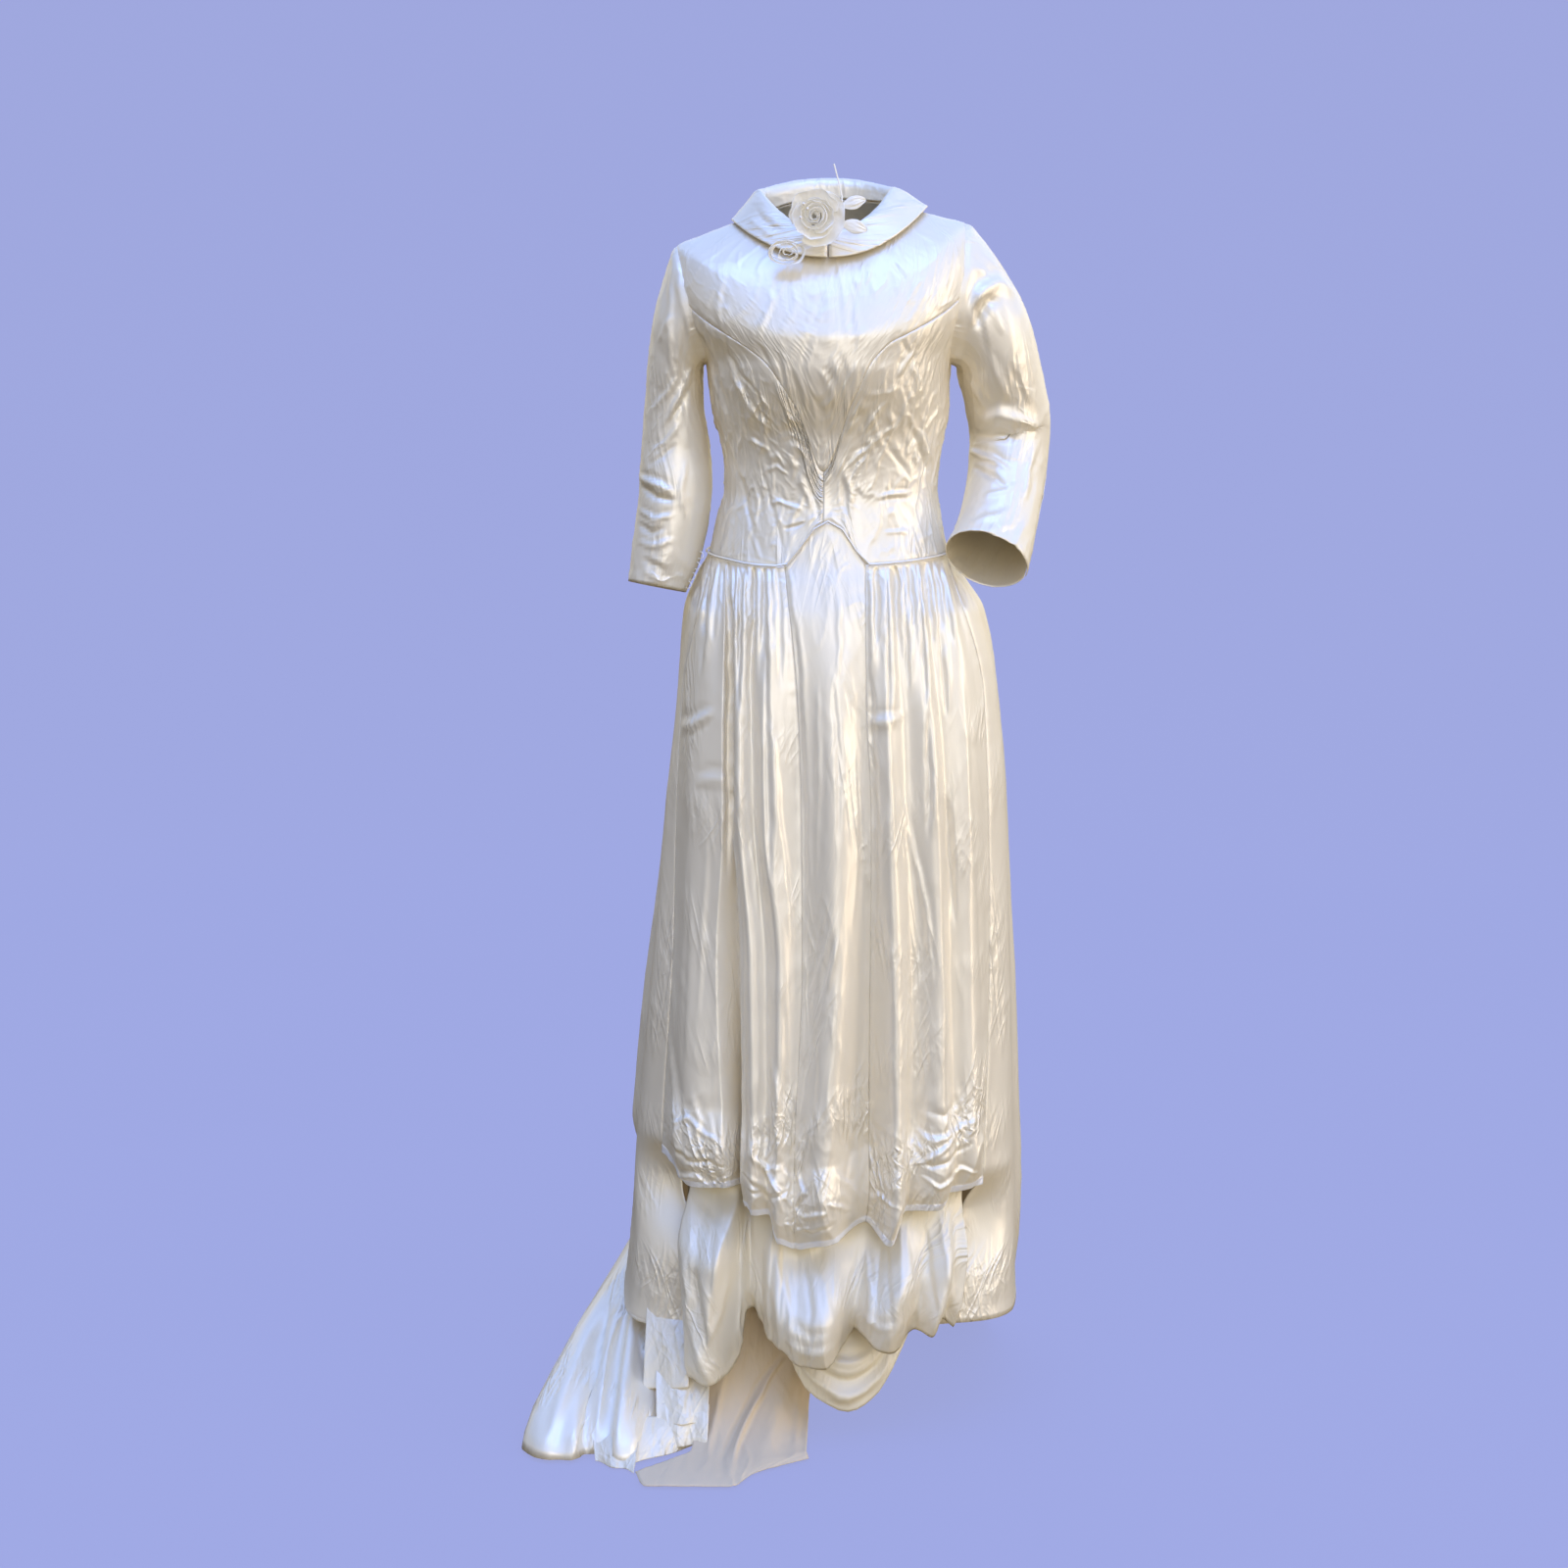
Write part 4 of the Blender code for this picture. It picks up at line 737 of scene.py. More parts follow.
# %% Form of the sleeves
# Sleeves, from armhole to cuff: place, middle x, y and z, lean of the outer side in degrees,
# half width across, half width from front to back
RIGHT_SLEEVE = (
    (0.0, -0.182, 0.0, -0.119, 13.6, 0.073, 0.065),
    (0.12, -0.184, 0.0, -0.149, 27.5, 0.0547, 0.063),
    (0.25, -0.189, 0.002, -0.188, 49.0, 0.0427, 0.058),
    (0.4, -0.192, 0.004, -0.234, 62.8, 0.0405, 0.055),
    (0.55, -0.1915, 0.004, -0.29, 80.6, 0.043, 0.054),
    (0.7, -0.192, 0.0, -0.344, 88.8, 0.0463, 0.056),
    (0.8, -0.196, -0.004, -0.382, 88.0, 0.046, 0.055),
    (0.9, -0.204, -0.01, -0.426, 84.0, 0.044, 0.052),
    (1.0, -0.216, -0.016, -0.469, 79.0, 0.0365, 0.046),
)
LEFT_SLEEVE = (
    (0.0, 0.176, 0.0, -0.105, 5.6, 0.0854, 0.058),
    (0.12, 0.194, 0.002, -0.138, 25.8, 0.0665, 0.06),
    (0.25, 0.2105, 0.012, -0.183, 52.2, 0.0565, 0.062),
    (0.4, 0.2215, 0.022, -0.224, 64.4, 0.053, 0.06),
    (0.55, 0.2305, 0.032, -0.278, 76.0, 0.0525, 0.058),
    (0.68, 0.227, 0.018, -0.329, 91.0, 0.0498, 0.057),
    (0.8, 0.218, -0.012, -0.37, 99.4, 0.049, 0.054),
    (0.9, 0.208, -0.042, -0.402, 107.0, 0.05, 0.05),
    (1.0, 0.196, -0.075, -0.429, 113.6, 0.0525, 0.045),
)
SLEEVE_GAP = -0.0009
ARMHOLE_TUCK = 1.035
SLEEVE_BLEND = 0.20


def sleeve(rows, side):
    """u runs round the sleeve from its outer side forward, v from the armhole to the cuff."""
    places = column(rows, 0)

    def middle(v):
        return np.stack([curve(places, column(rows, k), v) for k in (1, 2, 3)], axis=-1)

    def form(u, v):
        phi = 2 * math.pi * u
        v = np.clip(v, 0.0, 1.0)
        along = middle(np.clip(v + 0.01, 0, 1)) - middle(np.clip(v - 0.01, 0, 1))
        along = along / np.linalg.norm(along, axis=-1, keepdims=True)
        lean = np.radians(curve(places, column(rows, 4), v))
        outer = np.stack([side * np.sin(lean), 0 * lean, np.cos(lean)], axis=-1)
        forward = side * np.cross(along, outer)
        forward = forward / np.linalg.norm(forward, axis=-1, keepdims=True)
        wide = curve(places, column(rows, 5), v)
        deep = curve(places, column(rows, 6), v)
        across = outer * (wide * np.cos(phi))[..., None]
        tube = middle(v) + across + forward * (deep * np.sin(phi))[..., None]
        angle = side * np.radians(90 - ARMHOLE_HALF_ANGLE * ARMHOLE_TUCK * np.sin(phi))
        level = ARMHOLE_LEVEL - ARMHOLE_HALF_LEVEL * ARMHOLE_TUCK * np.cos(phi)
        start = body(angle, level, SLEEVE_GAP)
        blend = 1 - (1 - np.clip(v / SLEEVE_BLEND, 0, 1)[..., None]) ** 2
        return start + (tube - start) * blend

    return form


print("rings of a sleeve:", len(RIGHT_SLEEVE), "on the right,", len(LEFT_SLEEVE), "on the left")

# %% [markdown]
# A narrow sleeve that bends pushes its satin together inside the elbow, so the deepest folds lie
# across it there. Lower down they run round the cuff. They are placed one by one, like the
# bodice's.

# %% Folds of the sleeves
# Creases of the right sleeve, in mm
RIGHT_SLEEVE_CREASES = (
    (3.0, 1.2, -190, -68, -196, -141, -193, -201),
    (2.6, 1.3, -200, -261, -188, -237, -168, -191),
    (2.6, -1.2, -205, -273, -186, -246, -166, -208),
    (2.6, 1.0, -220, -249, -200, -227, -188, -207),
    (3.4, -2.6, -235, -341, -214, -354, -189, -357),
    (3.6, 2.4, -238, -329, -216, -338, -192, -346),
    (3.2, 1.8, -236, -370, -216, -382, -192, -375),
    (3.2, -1.8, -238, -388, -221, -398, -202, -392),
    (2.8, 1.4, -239, -410, -219, -414, -190, -404),
    (2.8, -1.4, -232, -431, -217, -436, -200, -445),
    (2.6, 1.2, -194, -451, -182, -453, -175, -458),
    (2.6, 1.2, -232, -443, -215, -453, -198, -458),
    (3.0, 1.3, -177, -309, -182, -346, -177, -382),
    (3.0, -1.0, -175, -141, -181, -201, -176, -261),
    (2.6, 1.0, -220, -297, -201, -285, -183, -261),
    (2.6, -0.9, -223, -314, -206, -304, -189, -288),
    (2.4, 0.9, -209, -165, -199, -141, -187, -129),
)

# Creases of the left sleeve, in mm
LEFT_SLEEVE_CREASES = (
    (6.0, 3.6, 175, -122, 192, -98, 211, -90, 228, -105),
    (5.0, -3.2, 180, -146, 194, -117, 211, -107),
    (8.0, 2.4, 189, -261, 213, -254, 240, -259, 264, -268),
    (7.0, -2.4, 186, -280, 211, -278, 238, -285),
    (4.0, 2.0, 177, -300, 201, -307, 226, -322),
    (3.6, -1.8, 184, -319, 206, -329, 224, -344),
    (4.0, 1.8, 262, -285, 250, -322, 246, -358),
    (3.4, 1.4, 187, -105, 202, -124, 214, -153),
    (3.4, -1.4, 177, -105, 187, -141, 195, -177),
    (3.2, 1.2, 175, -67, 189, -77, 206, -91),
    (4.0, 1.4, 200, -177, 212, -211, 225, -237),
    (3.4, -1.2, 224, -189, 237, -220, 249, -247),
    (3.2, 1.2, 175, -383, 202, -375, 226, -366),
    (3.2, -1.0, 178, -402, 207, -395, 234, -390),
    (3.4, 1.2, 215, -419, 232, -405, 244, -383),
    (3.2, 1.0, 176, -213, 188, -230, 196, -247),
    (3.0, 1.1, 192, -352, 214, -346, 241, -336),
)


def sleeve_relief(table, seed):
    def relief(base, face, u, v, across, down):
        x, y, z = base.T
        front = smooth(-face[:, 1] * 2.2 + 0.2)
        girth, length = across.ravel(), down.ravel()
        fine = crumple(girth, length, 0.034, 60, 2.2, seed)
        lift = fine * 0.0008 + 0.0010 * noise(girth * 14, length * 7, seed + 2)
        lift = lift + 1.9 * creased(x, z, table, seed) * front
        lift = lift + 0.0014 * hump(length - 0.010, 0.007)
        lift = lift + turned_edge(to_hem(down), 0.012, 0.0005, 0.002)
        return lift * smooth(v / 0.03)

    return relief


print("folds:", len(RIGHT_SLEEVE_CREASES), "on the right,", len(LEFT_SLEEVE_CREASES), "on the left")

# %% [markdown]
# The first ring of each sleeve is tucked a millimetre under the bodice, as a set-in seam is. The
# grid's doubled vertices are merged along its outer side.

# %% Panels of the sleeves
for side, turn, rows, creases, seed in (
    ("right", -1, RIGHT_SLEEVE, RIGHT_SLEEVE_CREASES, 31),
    ("left", 1, LEFT_SLEEVE, LEFT_SLEEVE_CREASES, 41),
):
    relief = sleeve_relief(creases, seed)
    panel(f"sleeve_{side}", sleeve(rows, turn), 97, 120, relief, flip=turn > 0, loop=True)

# %% [markdown]
# ## Collar
#
# The collar is one band on the bias. It stands up a little, turns over, and its two ends meet in
# front. A bias edge rolls softly and never creases sharply, so its relief is low and wide, with a
# thin ridge where the turned edge holds more layers.

# %% Form and relief of the collar
# Collar, from the neckline up the stand, over the fold and down the fall
# left, right, front, back, z_left, z_right, z_front, z_back
COLLAR_ROWS = (
    (0.0785, 0.0745, 0.0705, 0.0645, -0.0045, 0.0075, -0.044, 0.0135),
    (0.0785, 0.0745, 0.0735, 0.0645, 0.009, 0.016, -0.037, 0.027),
    (0.081, 0.077, 0.0785, 0.068, 0.019, 0.0225, -0.031, 0.037),
    (0.0855, 0.0815, 0.0835, 0.0735, 0.0225, 0.025, -0.029, 0.0395),
    (0.0905, 0.0865, 0.088, 0.0785, 0.0195, 0.0235, -0.031, 0.0365),
    (0.1, 0.0985, 0.093, 0.087, 0.008, 0.0175, -0.04, 0.024),
    (0.111, 0.112, 0.097, 0.095, -0.0045, 0.0095, -0.051, 0.008),
    (0.12, 0.1235, 0.1, 0.101, -0.015, 0.0015, -0.062, -0.006),
)
COLLAR_ENDS = (0.3, 359.7)


def collar(u, v):
    angle = np.radians(COLLAR_ENDS[0] + (COLLAR_ENDS[1] - COLLAR_ENDS[0]) * u)
    k = np.arange(len(COLLAR_ROWS))
    sizes = [curve(k, column(COLLAR_ROWS, c), v * (len(COLLAR_ROWS) - 1)) for c in range(8)]
    return ring(angle, sizes)


# Dents of the collar, in mm
COLLAR_CREASES = (
    (4.0, -1.6, 41, -3, 60, 4, 79, 2),
    (3.6, 1.2, 32, -19, 56, -12, 84, -10),
    (3.6, -1.2, -89, -3, -75, -19, -56, -31),
    (3.4, 1.2, -98, -12, -82, -26, -65, -36),
    (3.2, 1.0, 65, 13, 84, 6, 103, -5),
)


def collar_relief(base, face, u, v, across, down):
    x, y, z = base.T
    lift = creased(x, z, COLLAR_CREASES, 51) * smooth(-face[:, 1] * 2)
    fall = smooth((v - 0.45) / 0.3)
    lift = lift + 0.0009 * noise(across.ravel() * 16, v * 2, 52) * fall
    lift = lift + 0.0005 * crumple(across.ravel(), down.ravel(), 0.028, 40, 2.0, 53)
    edge = to_hem(down)
    return lift + 0.0006 * hump(edge - 0.002, 0.0016)


panel("collar", collar, 200, 46, collar_relief)

# %% [markdown]
# ## Skirt
#
# The skirt front is a plain panel between two gathered ones. It follows fold lines, each with its
# own depth at the waist, in the middle and at the hem. Between two lines the cloth dwells at each,
# which makes rounded folds, not corners.

# %% Fold lines of the skirt front
# Fold lines of the skirt front, from the seam with one side panel to the other. Each line is given
# by its x at six heights; the last height is the hem of the lower tier.
LINE_HEIGHTS = (-0.43, -0.60, -0.75, -0.92, -1.20, -1.42)
FOLD_LINES = (
    ("right edge", -0.1470, -0.1835, -0.1925, -0.1970, -0.2125, -0.1823),
    ("right flare", -0.1370, -0.1595, -0.1625, -0.1657, -0.1647, -0.1712),
    ("flare edge", -0.1280, -0.1290, -0.1285, -0.1367, -0.1257, -0.1441),
    ("deep valley", -0.1215, -0.1223, -0.1203, -0.1222, -0.1159, -0.1182),
    ("valley edge", -0.1135, -0.1145, -0.1140, -0.1065, -0.1074, -0.1071),
    ("outer ridge", -0.1022, -0.1055, -0.1047, -0.0932, -0.0903, -0.0936),
    ("small valley", -0.0890, -0.0923, -0.0927, -0.0774, -0.0756, -0.0764),
    ("inner ridge", -0.0746, -0.0767, -0.0746, -0.0581, -0.0610, -0.0591),
    ("centre seam, right", -0.0541, -0.0384, -0.0337, -0.0327, -0.0427, -0.0369),
    ("centre", -0.0036, 0.0060, 0.0096, 0.0097, -0.0061, -0.0062),
    ("centre seam, left", 0.0457, 0.0480, 0.0554, 0.0556, 0.0561, 0.0283),
    ("inner ridge, left", 0.0661, 0.0719, 0.0758, 0.0811, 0.0842, 0.0456),
    ("valley, left", 0.0854, 0.0959, 0.1023, 0.1125, 0.1049, 0.0702),
    ("ridge, left", 0.1046, 0.1200, 0.1324, 0.1367, 0.1379, 0.1096),
    ("outer valley, left", 0.1203, 0.1403, 0.1504, 0.1561, 0.1623, 0.1281),
    ("outer ridge, left", 0.1335, 0.1643, 0.1720, 0.1766, 0.1781, 0.1478),
    ("left edge", 0.1490, 0.1960, 0.2020, 0.2050, 0.1980, 0.1798),
)
CENTRE_PANEL_LINES = (8, 10)

# How far each fold line stands out of the ring: the front at three heights, then the lower tier at
# its hem. After that, the height of the front's hem.
# waist, middle, front hem, tier hem, z of front hem
FOLD_DEPTHS = (
    (0.0, 0.0, 0.0, -0.004, -1.182),
    (0.002, 0.01, 0.02, 0.02, -1.21),
    (0.0, 0.006, 0.012, 0.032, -1.207),
    (-0.003, -0.015, -0.044, -0.018, -1.213),
    (0.0, 0.004, -0.004, -0.034, -1.234),
    (0.002, 0.01, 0.014, -0.03, -1.239),
    (-0.002, -0.004, 0.002, -0.01, -1.24),
    (0.002, 0.01, 0.016, 0.014, -1.272),
    (0.0, -0.009, 0.0, 0.026, -1.283),
    (0.001, 0.008, 0.022, 0.034, -1.272),
    (0.0, -0.014, -0.034, -0.026, -1.26),
    (0.003, 0.008, 0.014, 0.01, -1.277),
    (-0.002, -0.008, -0.01, 0.022, -1.241),
    (0.003, 0.008, 0.014, -0.01, -1.238),
    (-0.002, -0.006, -0.004, 0.012, -1.224),
    (0.002, 0.006, 0.008, -0.008, -1.221),
    (0.0, 0.0, 0.0, 0.002, -1.22),
)
DEPTH_HEIGHTS = (-0.43, -0.75, -1.20)

print("fold lines:", len(FOLD_LINES))

# %% [markdown]
# All panels of the skirt share the heights of their upper rows, so that they meet corner to corner
# along their seams. Below those, each goes straight on to its own hem.

# %% Rows and fold lines joined
# Heights at which all skirt panels have a row, so that they meet corner to corner along their seams
ROW_HEIGHTS = (-0.441, -0.460, -0.495, -0.55, -0.63, -0.73, -0.85, -0.98, -1.11)
UPPER_SHARE = 0.72


def row_z(v, top, hem):
    """Height of a place on a panel: the shared rows first, then straight on to its own hem."""
    k = np.clip(v / UPPER_SHARE, -0.1, 1) * len(ROW_HEIGHTS)
    first = top + (ROW_HEIGHTS[0] - top) * k
    upper = np.interp(k, np.arange(1, len(ROW_HEIGHTS) + 1), ROW_HEIGHTS)
    lower = ROW_HEIGHTS[-1] + (hem - ROW_HEIGHTS[-1]) * (v - UPPER_SHARE) / (1 - UPPER_SHARE)
    return np.where(v > UPPER_SHARE, lower, np.where(k < 1, first, upper))


def between_lines(table, k, place):
    """The table's column k read at a place between its rows, straight from row to row."""
    return np.interp(place, np.arange(len(table)), column(table, k))


def eased(place):
    """The same place, but dwelling at each line, so that folds come out rounded."""
    whole = np.clip(np.floor(place), 0, len(FOLD_LINES) - 2)
    part = np.clip(place - whole, 0, 1)
    return whole + (1 - np.cos(math.pi * part)) / 2


def line_x(place, z):
    """x of a place between fold lines, at a height."""
    sides = [curve([-h for h in LINE_HEIGHTS], row[1:], -z) for row in FOLD_LINES]
    whole = np.clip(np.floor(place), 0, len(FOLD_LINES) - 2).astype(int)
    part = place - whole
    sides = np.array(sides)
    n = np.arange(len(place))
    return sides[whole, n] * (1 - part) + sides[whole + 1, n] * part


def front_depth(place, z):
    """How far the skirt front stands out of its ring."""
    at = eased(place)
    depths = [between_lines(FOLD_DEPTHS, k, at) for k in range(3)]
    first = smooth((DEPTH_HEIGHTS[0] - z) / (DEPTH_HEIGHTS[0] - DEPTH_HEIGHTS[1]))
    second = smooth((DEPTH_HEIGHTS[1] - z) / (DEPTH_HEIGHTS[1] - DEPTH_HEIGHTS[2]))
    return depths[0] + (depths[1] - depths[0]) * first + (depths[2] - depths[1]) * second


print("rows that all panels share:", len(ROW_HEIGHTS))

# %% [markdown]
# Gathers start as a row of sharp short folds at the waist seam and run together into a few long
# soft ones lower down. They could be left to a bump map, but they are 4 mm deep and change the
# outline of the hip. The hem is turned up and puffs, because its stitches draw it in.

# %% Gathers, hem and the form of the skirt front
GATHER = 0.0038
HEM_PUFF = 0.007


def gathers(place, z):
    """Small gathers, held flat in the waist seam and gone a hand's width under it."""
    under = -0.43 - z
    rise = smooth(under / 0.025) * (1 - smooth((under - 0.03) / 0.17))
    whole = np.clip(np.floor(place), 0, len(FOLD_LINES) - 2).astype(int)
    widths = np.diff(column(FOLD_LINES, 1))[whole]
    still = quiet_ends(place, (0, *CENTRE_PANEL_LINES, len(FOLD_LINES) - 1))
    return GATHER * np.clip(widths / 0.016, 0, 1) * rise * still * np.sin(2 * math.pi * place)


def quiet_ends(place, ends):
    """1 away from the given places and 0 at them, so that neighbours meet flush."""
    share = np.ones(len(place))
    for end in ends:
        share = share * smooth(np.abs(place - end) / 0.6)
    return share


def skirt_front(u, v):
    """u is a place between fold lines and v runs from the waist seam to the hem."""
    top_x = line_x(u, np.full(len(u), LINE_HEIGHTS[0]))
    level = np.full(len(u), -LINE_HEIGHTS[0])
    for _ in range(4):
        level = waist_level(angle_at(top_x, level))
    top = -level
    hem = between_lines(FOLD_DEPTHS, 4, eased(u))
    z = row_z(v, top, hem)
    x = line_x(u, z)
    centre = (u > CENTRE_PANEL_LINES[0]) & (u < CENTRE_PANEL_LINES[1])
    out = front_depth(u, z) * smooth((top - z) / 0.02) + np.where(centre, 0, gathers(u, z))
    over_hem = np.clip((z - hem) / 0.10, 0, 1)
    puff = HEM_PUFF * quiet_ends(u, (0, len(FOLD_LINES) - 1))
    out = out + puff * (np.sin(math.pi * over_hem) - (1 - over_hem) ** 6)
    return body(angle_at(x, -z), -z, out)


print(f"gathers are {1000 * GATHER} mm deep and the hem puffs by {1000 * HEM_PUFF} mm")

# %% [markdown]
# The side panels are longer than the front and slip behind its hem. Their back edge follows the
# side seam, which swings forward on the right where the train is drawn round.

# %% Form of the side panels
# Side panels: the height of the hem, from front edge to back edge
# share, hem of the right panel, hem of the left panel
SIDE_HEMS = (
    (0.0, -1.4, -1.4),
    (0.5, -1.408, -1.404),
    (0.8, -1.402, -1.405),
    (1.0, -1.375, -1.405),
)
SIDE_SEAM = 88.0
SIDE_SEAM_LOW = 81.0
SIDE_SEAM_FREE = -1.17
SIDE_TUCK = 0.032
SIDE_TUCK_EARLY = 0.020
SIDE_BEHIND = 1.1


def side_panel(side):
    """The panel between the front and the back, longer than the front, whose hem it runs behind."""
    edge = 0 if side < 0 else len(FOLD_LINES) - 1
    hems = column(SIDE_HEMS, 1 if side < 0 else 2)
    low = SIDE_SEAM_LOW if side < 0 else SIDE_SEAM
    front_hem = FOLD_DEPTHS[edge][4]

    def form(u, v):
        top = -waist_level(np.radians(side * (75 + 13 * u)))
        z = row_z(v, top, curve(column(SIDE_HEMS, 0), hems, u))
        behind = edge - side * SIDE_BEHIND * smooth((front_hem - 0.05 - z) / 0.10)
        front = np.abs(angle_at(line_x(behind, z), -z))
        back = np.radians(SIDE_SEAM + (low - SIDE_SEAM) * smooth((SIDE_SEAM_FREE - z) / 0.16))
        tucked = smooth((front_hem + SIDE_TUCK_EARLY - z) / 0.06)
        out = -SIDE_TUCK * tucked * (1 - smooth(u / 0.7))
        out = out + 0.006 * np.sin(math.pi * u) ** 2 * smooth((-0.6 - z) / 0.3)
        return body(side * (front + (back - front) * u), -z, out)

    return form


print("the side panels run", SIDE_BEHIND, "fold lines behind the front")

# %% [markdown]
# Three tables add what the form leaves out: the long folds and the creases that storage left across
# them, the short gathers under the waist seam, and the puckers above the hem.

# %% Long folds and creases of the skirt
# Folds and creases of the skirt front, in mm
SKIRT_CREASES = (
    (5.0, -8.0, -121, -460, -121, -575, -121, -725, -124, -818),
    (3.4, -3.6, -94, -503, -95, -575, -94, -659),
    (4.0, -4.2, -75, -599, -73, -696, -71, -806),
    (4.4, -4.8, -46, -478, -39, -540, -34, -689, -31, -797, -33, -904),
    (4.0, 2.0, -69, -623, -64, -725, -54, -797, -44, -904),
    (3.4, 1.8, -102, -699, -92, -797, -85, -868),
    (3.4, 1.6, 12, -438, 14, -503, 12, -569),
    (4.0, -1.8, 7, -575, 12, -671, 13, -769),
    (4.4, -4.4, 51, -563, 54, -671, 57, -793, 56, -911),
    (4.0, -4.0, 123, -611, 125, -696, 124, -764),
    (4.0, -3.8, 148, -720, 152, -793, 157, -873),
    (3.0, 2.0, 87, -702, 99, -760, 121, -851, 130, -944),
    (4.6, 4.2, -185, -643, -164, -629, -141, -613),
    (2.2, -1.2, -180, -649, -159, -635, -140, -620),
    (4.6, 4.2, -164, -699, -140, -697, -120, -696),
    (4.6, 4.0, 47, -626, 70, -620, 92, -617),
    (2.2, 1.0, 48, -633, 69, -628, 88, -623),
    (2.4, 1.2, 135, -715, 147, -708),
    (2.8, 2.4, -4, -957, 6, -917, 16, -877),
    (2.6, -1.8, -11, -954, -1, -914, 8, -880),
    (3.0, 1.2, -172, -503, -176, -575, -180, -647),
    (3.4, 1.4, -150, -769, -156, -867, -162, -992),
    (3.4, -1.4, -175, -818, -180, -942, -184, -1067),
    (3.0, 1.2, -91, -917, -86, -1017, -89, -1131),
    (3.0, -1.2, -55, -942, -52, -1042, -58, -1143),
    (3.4, 1.4, -13, -575, -11, -696, -16, -818),
    (3.2, -1.2, -21, -967, -16, -1055, -23, -1156),
    (3.2, 1.2, 32, -647, 35, -769, 30, -892),
    (3.4, 1.4, 71, -575, 75, -671, 81, -769),
    (3.2, -1.2, 96, -818, 103, -917, 106, -1042),
    (3.2, 1.2, 167, -575, 174, -696, 180, -818),
    (3.2, -1.0, 186, -769, 191, -892, 194, -1017),
    (3.2, 1.2, 139, -892, 147, -992, 153, -1080),
    (2.6, 1.0, -127, -824, -112, -849, -93, -861),
    (2.6, 1.0, 1, -992, 16, -1019, 23, -1055),
    (2.6, 1.0, -210, -917, -188, -942, -176, -979),
)

print("long folds and creases:", len(SKIRT_CREASES))

# %% Gathers under the waist seam
# Gathers under the waist seam, in mm: height, then x at the seam, under it and at the low end,
# and z of the low end
GATHERS = (
    (-3.0, -158, -162, -168, -508),
    (-4.1, -147, -151, -158, -568),
    (-3.2, -135, -138, -142, -526),
    (-4.6, -124, -124, -124, -520),
    (-3.5, -110, -109, -109, -605),
    (-2.7, -102, -100, -98, -508),
    (-4.1, -91, -91, -91, -544),
    (-3.2, -80, -78, -76, -623),
    (-4.1, -72, -69, -66, -532),
    (-2.7, -63, -61, -57, -580),
    (-4.3, -54, -51, -47, -526),
    (-4.3, 45, 46, 48, -580),
    (-3.5, 59, 59, 60, -526),
    (-4.1, 71, 73, 76, -629),
    (-3.0, 83, 84, 86, -520),
    (-3.8, 91, 94, 99, -580),
    (-2.7, 100, 102, 106, -508),
    (-4.1, 109, 113, 121, -605),
    (-3.2, 120, 124, 131, -526),
    (-3.8, 127, 135, 147, -623),
    (-3.0, 138, 144, 155, -532),
)
GATHER_CREASES = [
    (3.0, height, top, -433, under, -459, low, z) for height, top, under, low, z in GATHERS
]

print("gathers:", len(GATHER_CREASES))

# %% Puckers above the hem
# Puckers above the front hem, in mm
HEM_CREASES = (
    (3.0, 3.4, -98, -1154, -79, -1177, -62, -1202, -59, -1230),
    (3.0, -2.6, -108, -1185, -86, -1202, -67, -1225),
    (2.6, 2.8, -58, -1174, -47, -1192, -55, -1212, -40, -1230),
    (2.6, 2.6, -40, -1179, -30, -1205, -45, -1225, -28, -1251),
    (2.6, 2.4, -54, -1243, -38, -1256, -21, -1248),
    (2.6, 2.2, -1, -1215, 16, -1223, 28, -1233),
    (3.6, 3.6, -202, -1039, -195, -1084, -191, -1134, -189, -1190),
    (3.2, 3.0, 108, -1179, 137, -1164, 169, -1139),
    (2.8, 2.4, -71, -1034, -62, -1084, -67, -1134),
    (2.8, -2.4, -54, -1046, -50, -1096, -55, -1147),
    (4.0, 3.0, -206, -1178, -191, -1200, -169, -1195, -147, -1202, -128, -1192),
    (3.2, -2.4, -201, -1159, -176, -1174, -150, -1172, -130, -1179),
    (3.0, 2.0, -198, -1134, -176, -1121, -152, -1140, -132, -1149),
    (3.0, -1.8, -195, -1102, -173, -1109, -149, -1099),
    (3.0, 2.0, -176, -1084, -161, -1121, -167, -1159),
    (2.8, 1.6, -149, -1109, -142, -1147, -135, -1185),
    (3.4, 2.2, -98, -1159, -79, -1179, -55, -1172),
    (3.2, -2.0, -104, -1204, -74, -1212, -48, -1202),
    (3.2, 2.2, -55, -1218, -31, -1235, -1, -1225),
    (3.0, -1.8, -48, -1248, -21, -1256, 9, -1240),
    (3.0, 1.8, 4, -1172, 26, -1200, 43, -1235),
    (3.0, 2.0, 48, -1235, 65, -1218, 82, -1225),
    (3.2, -2.0, 108, -1159, 128, -1179, 157, -1172, 184, -1157),
    (3.4, 2.6, 108, -1134, 130, -1149, 159, -1142, 186, -1131),
    (3.0, 2.0, 116, -1191, 140, -1207, 169, -1192, 191, -1200),
    (3.0, -1.8, 121, -1109, 146, -1116, 176, -1106),
    (3.0, 1.8, 103, -1084, 120, -1099, 142, -1094),
    (2.8, 1.6, 159, -1084, 171, -1121, 167, -1159),
    (2.8, -1.4, 18, -1121, 28, -1159, 21, -1197),
    (2.8, 1.4, -33, -1121, -40, -1172, -30, -1210),
)

print("puckers:", len(HEM_CREASES))

# %% [markdown]
# The relief joins the three tables with a crumple that grows towards the hem. It fades out at the
# seams, where two panels have to meet flush.

# %% Relief of the skirt
HEM_TURN = 0.011


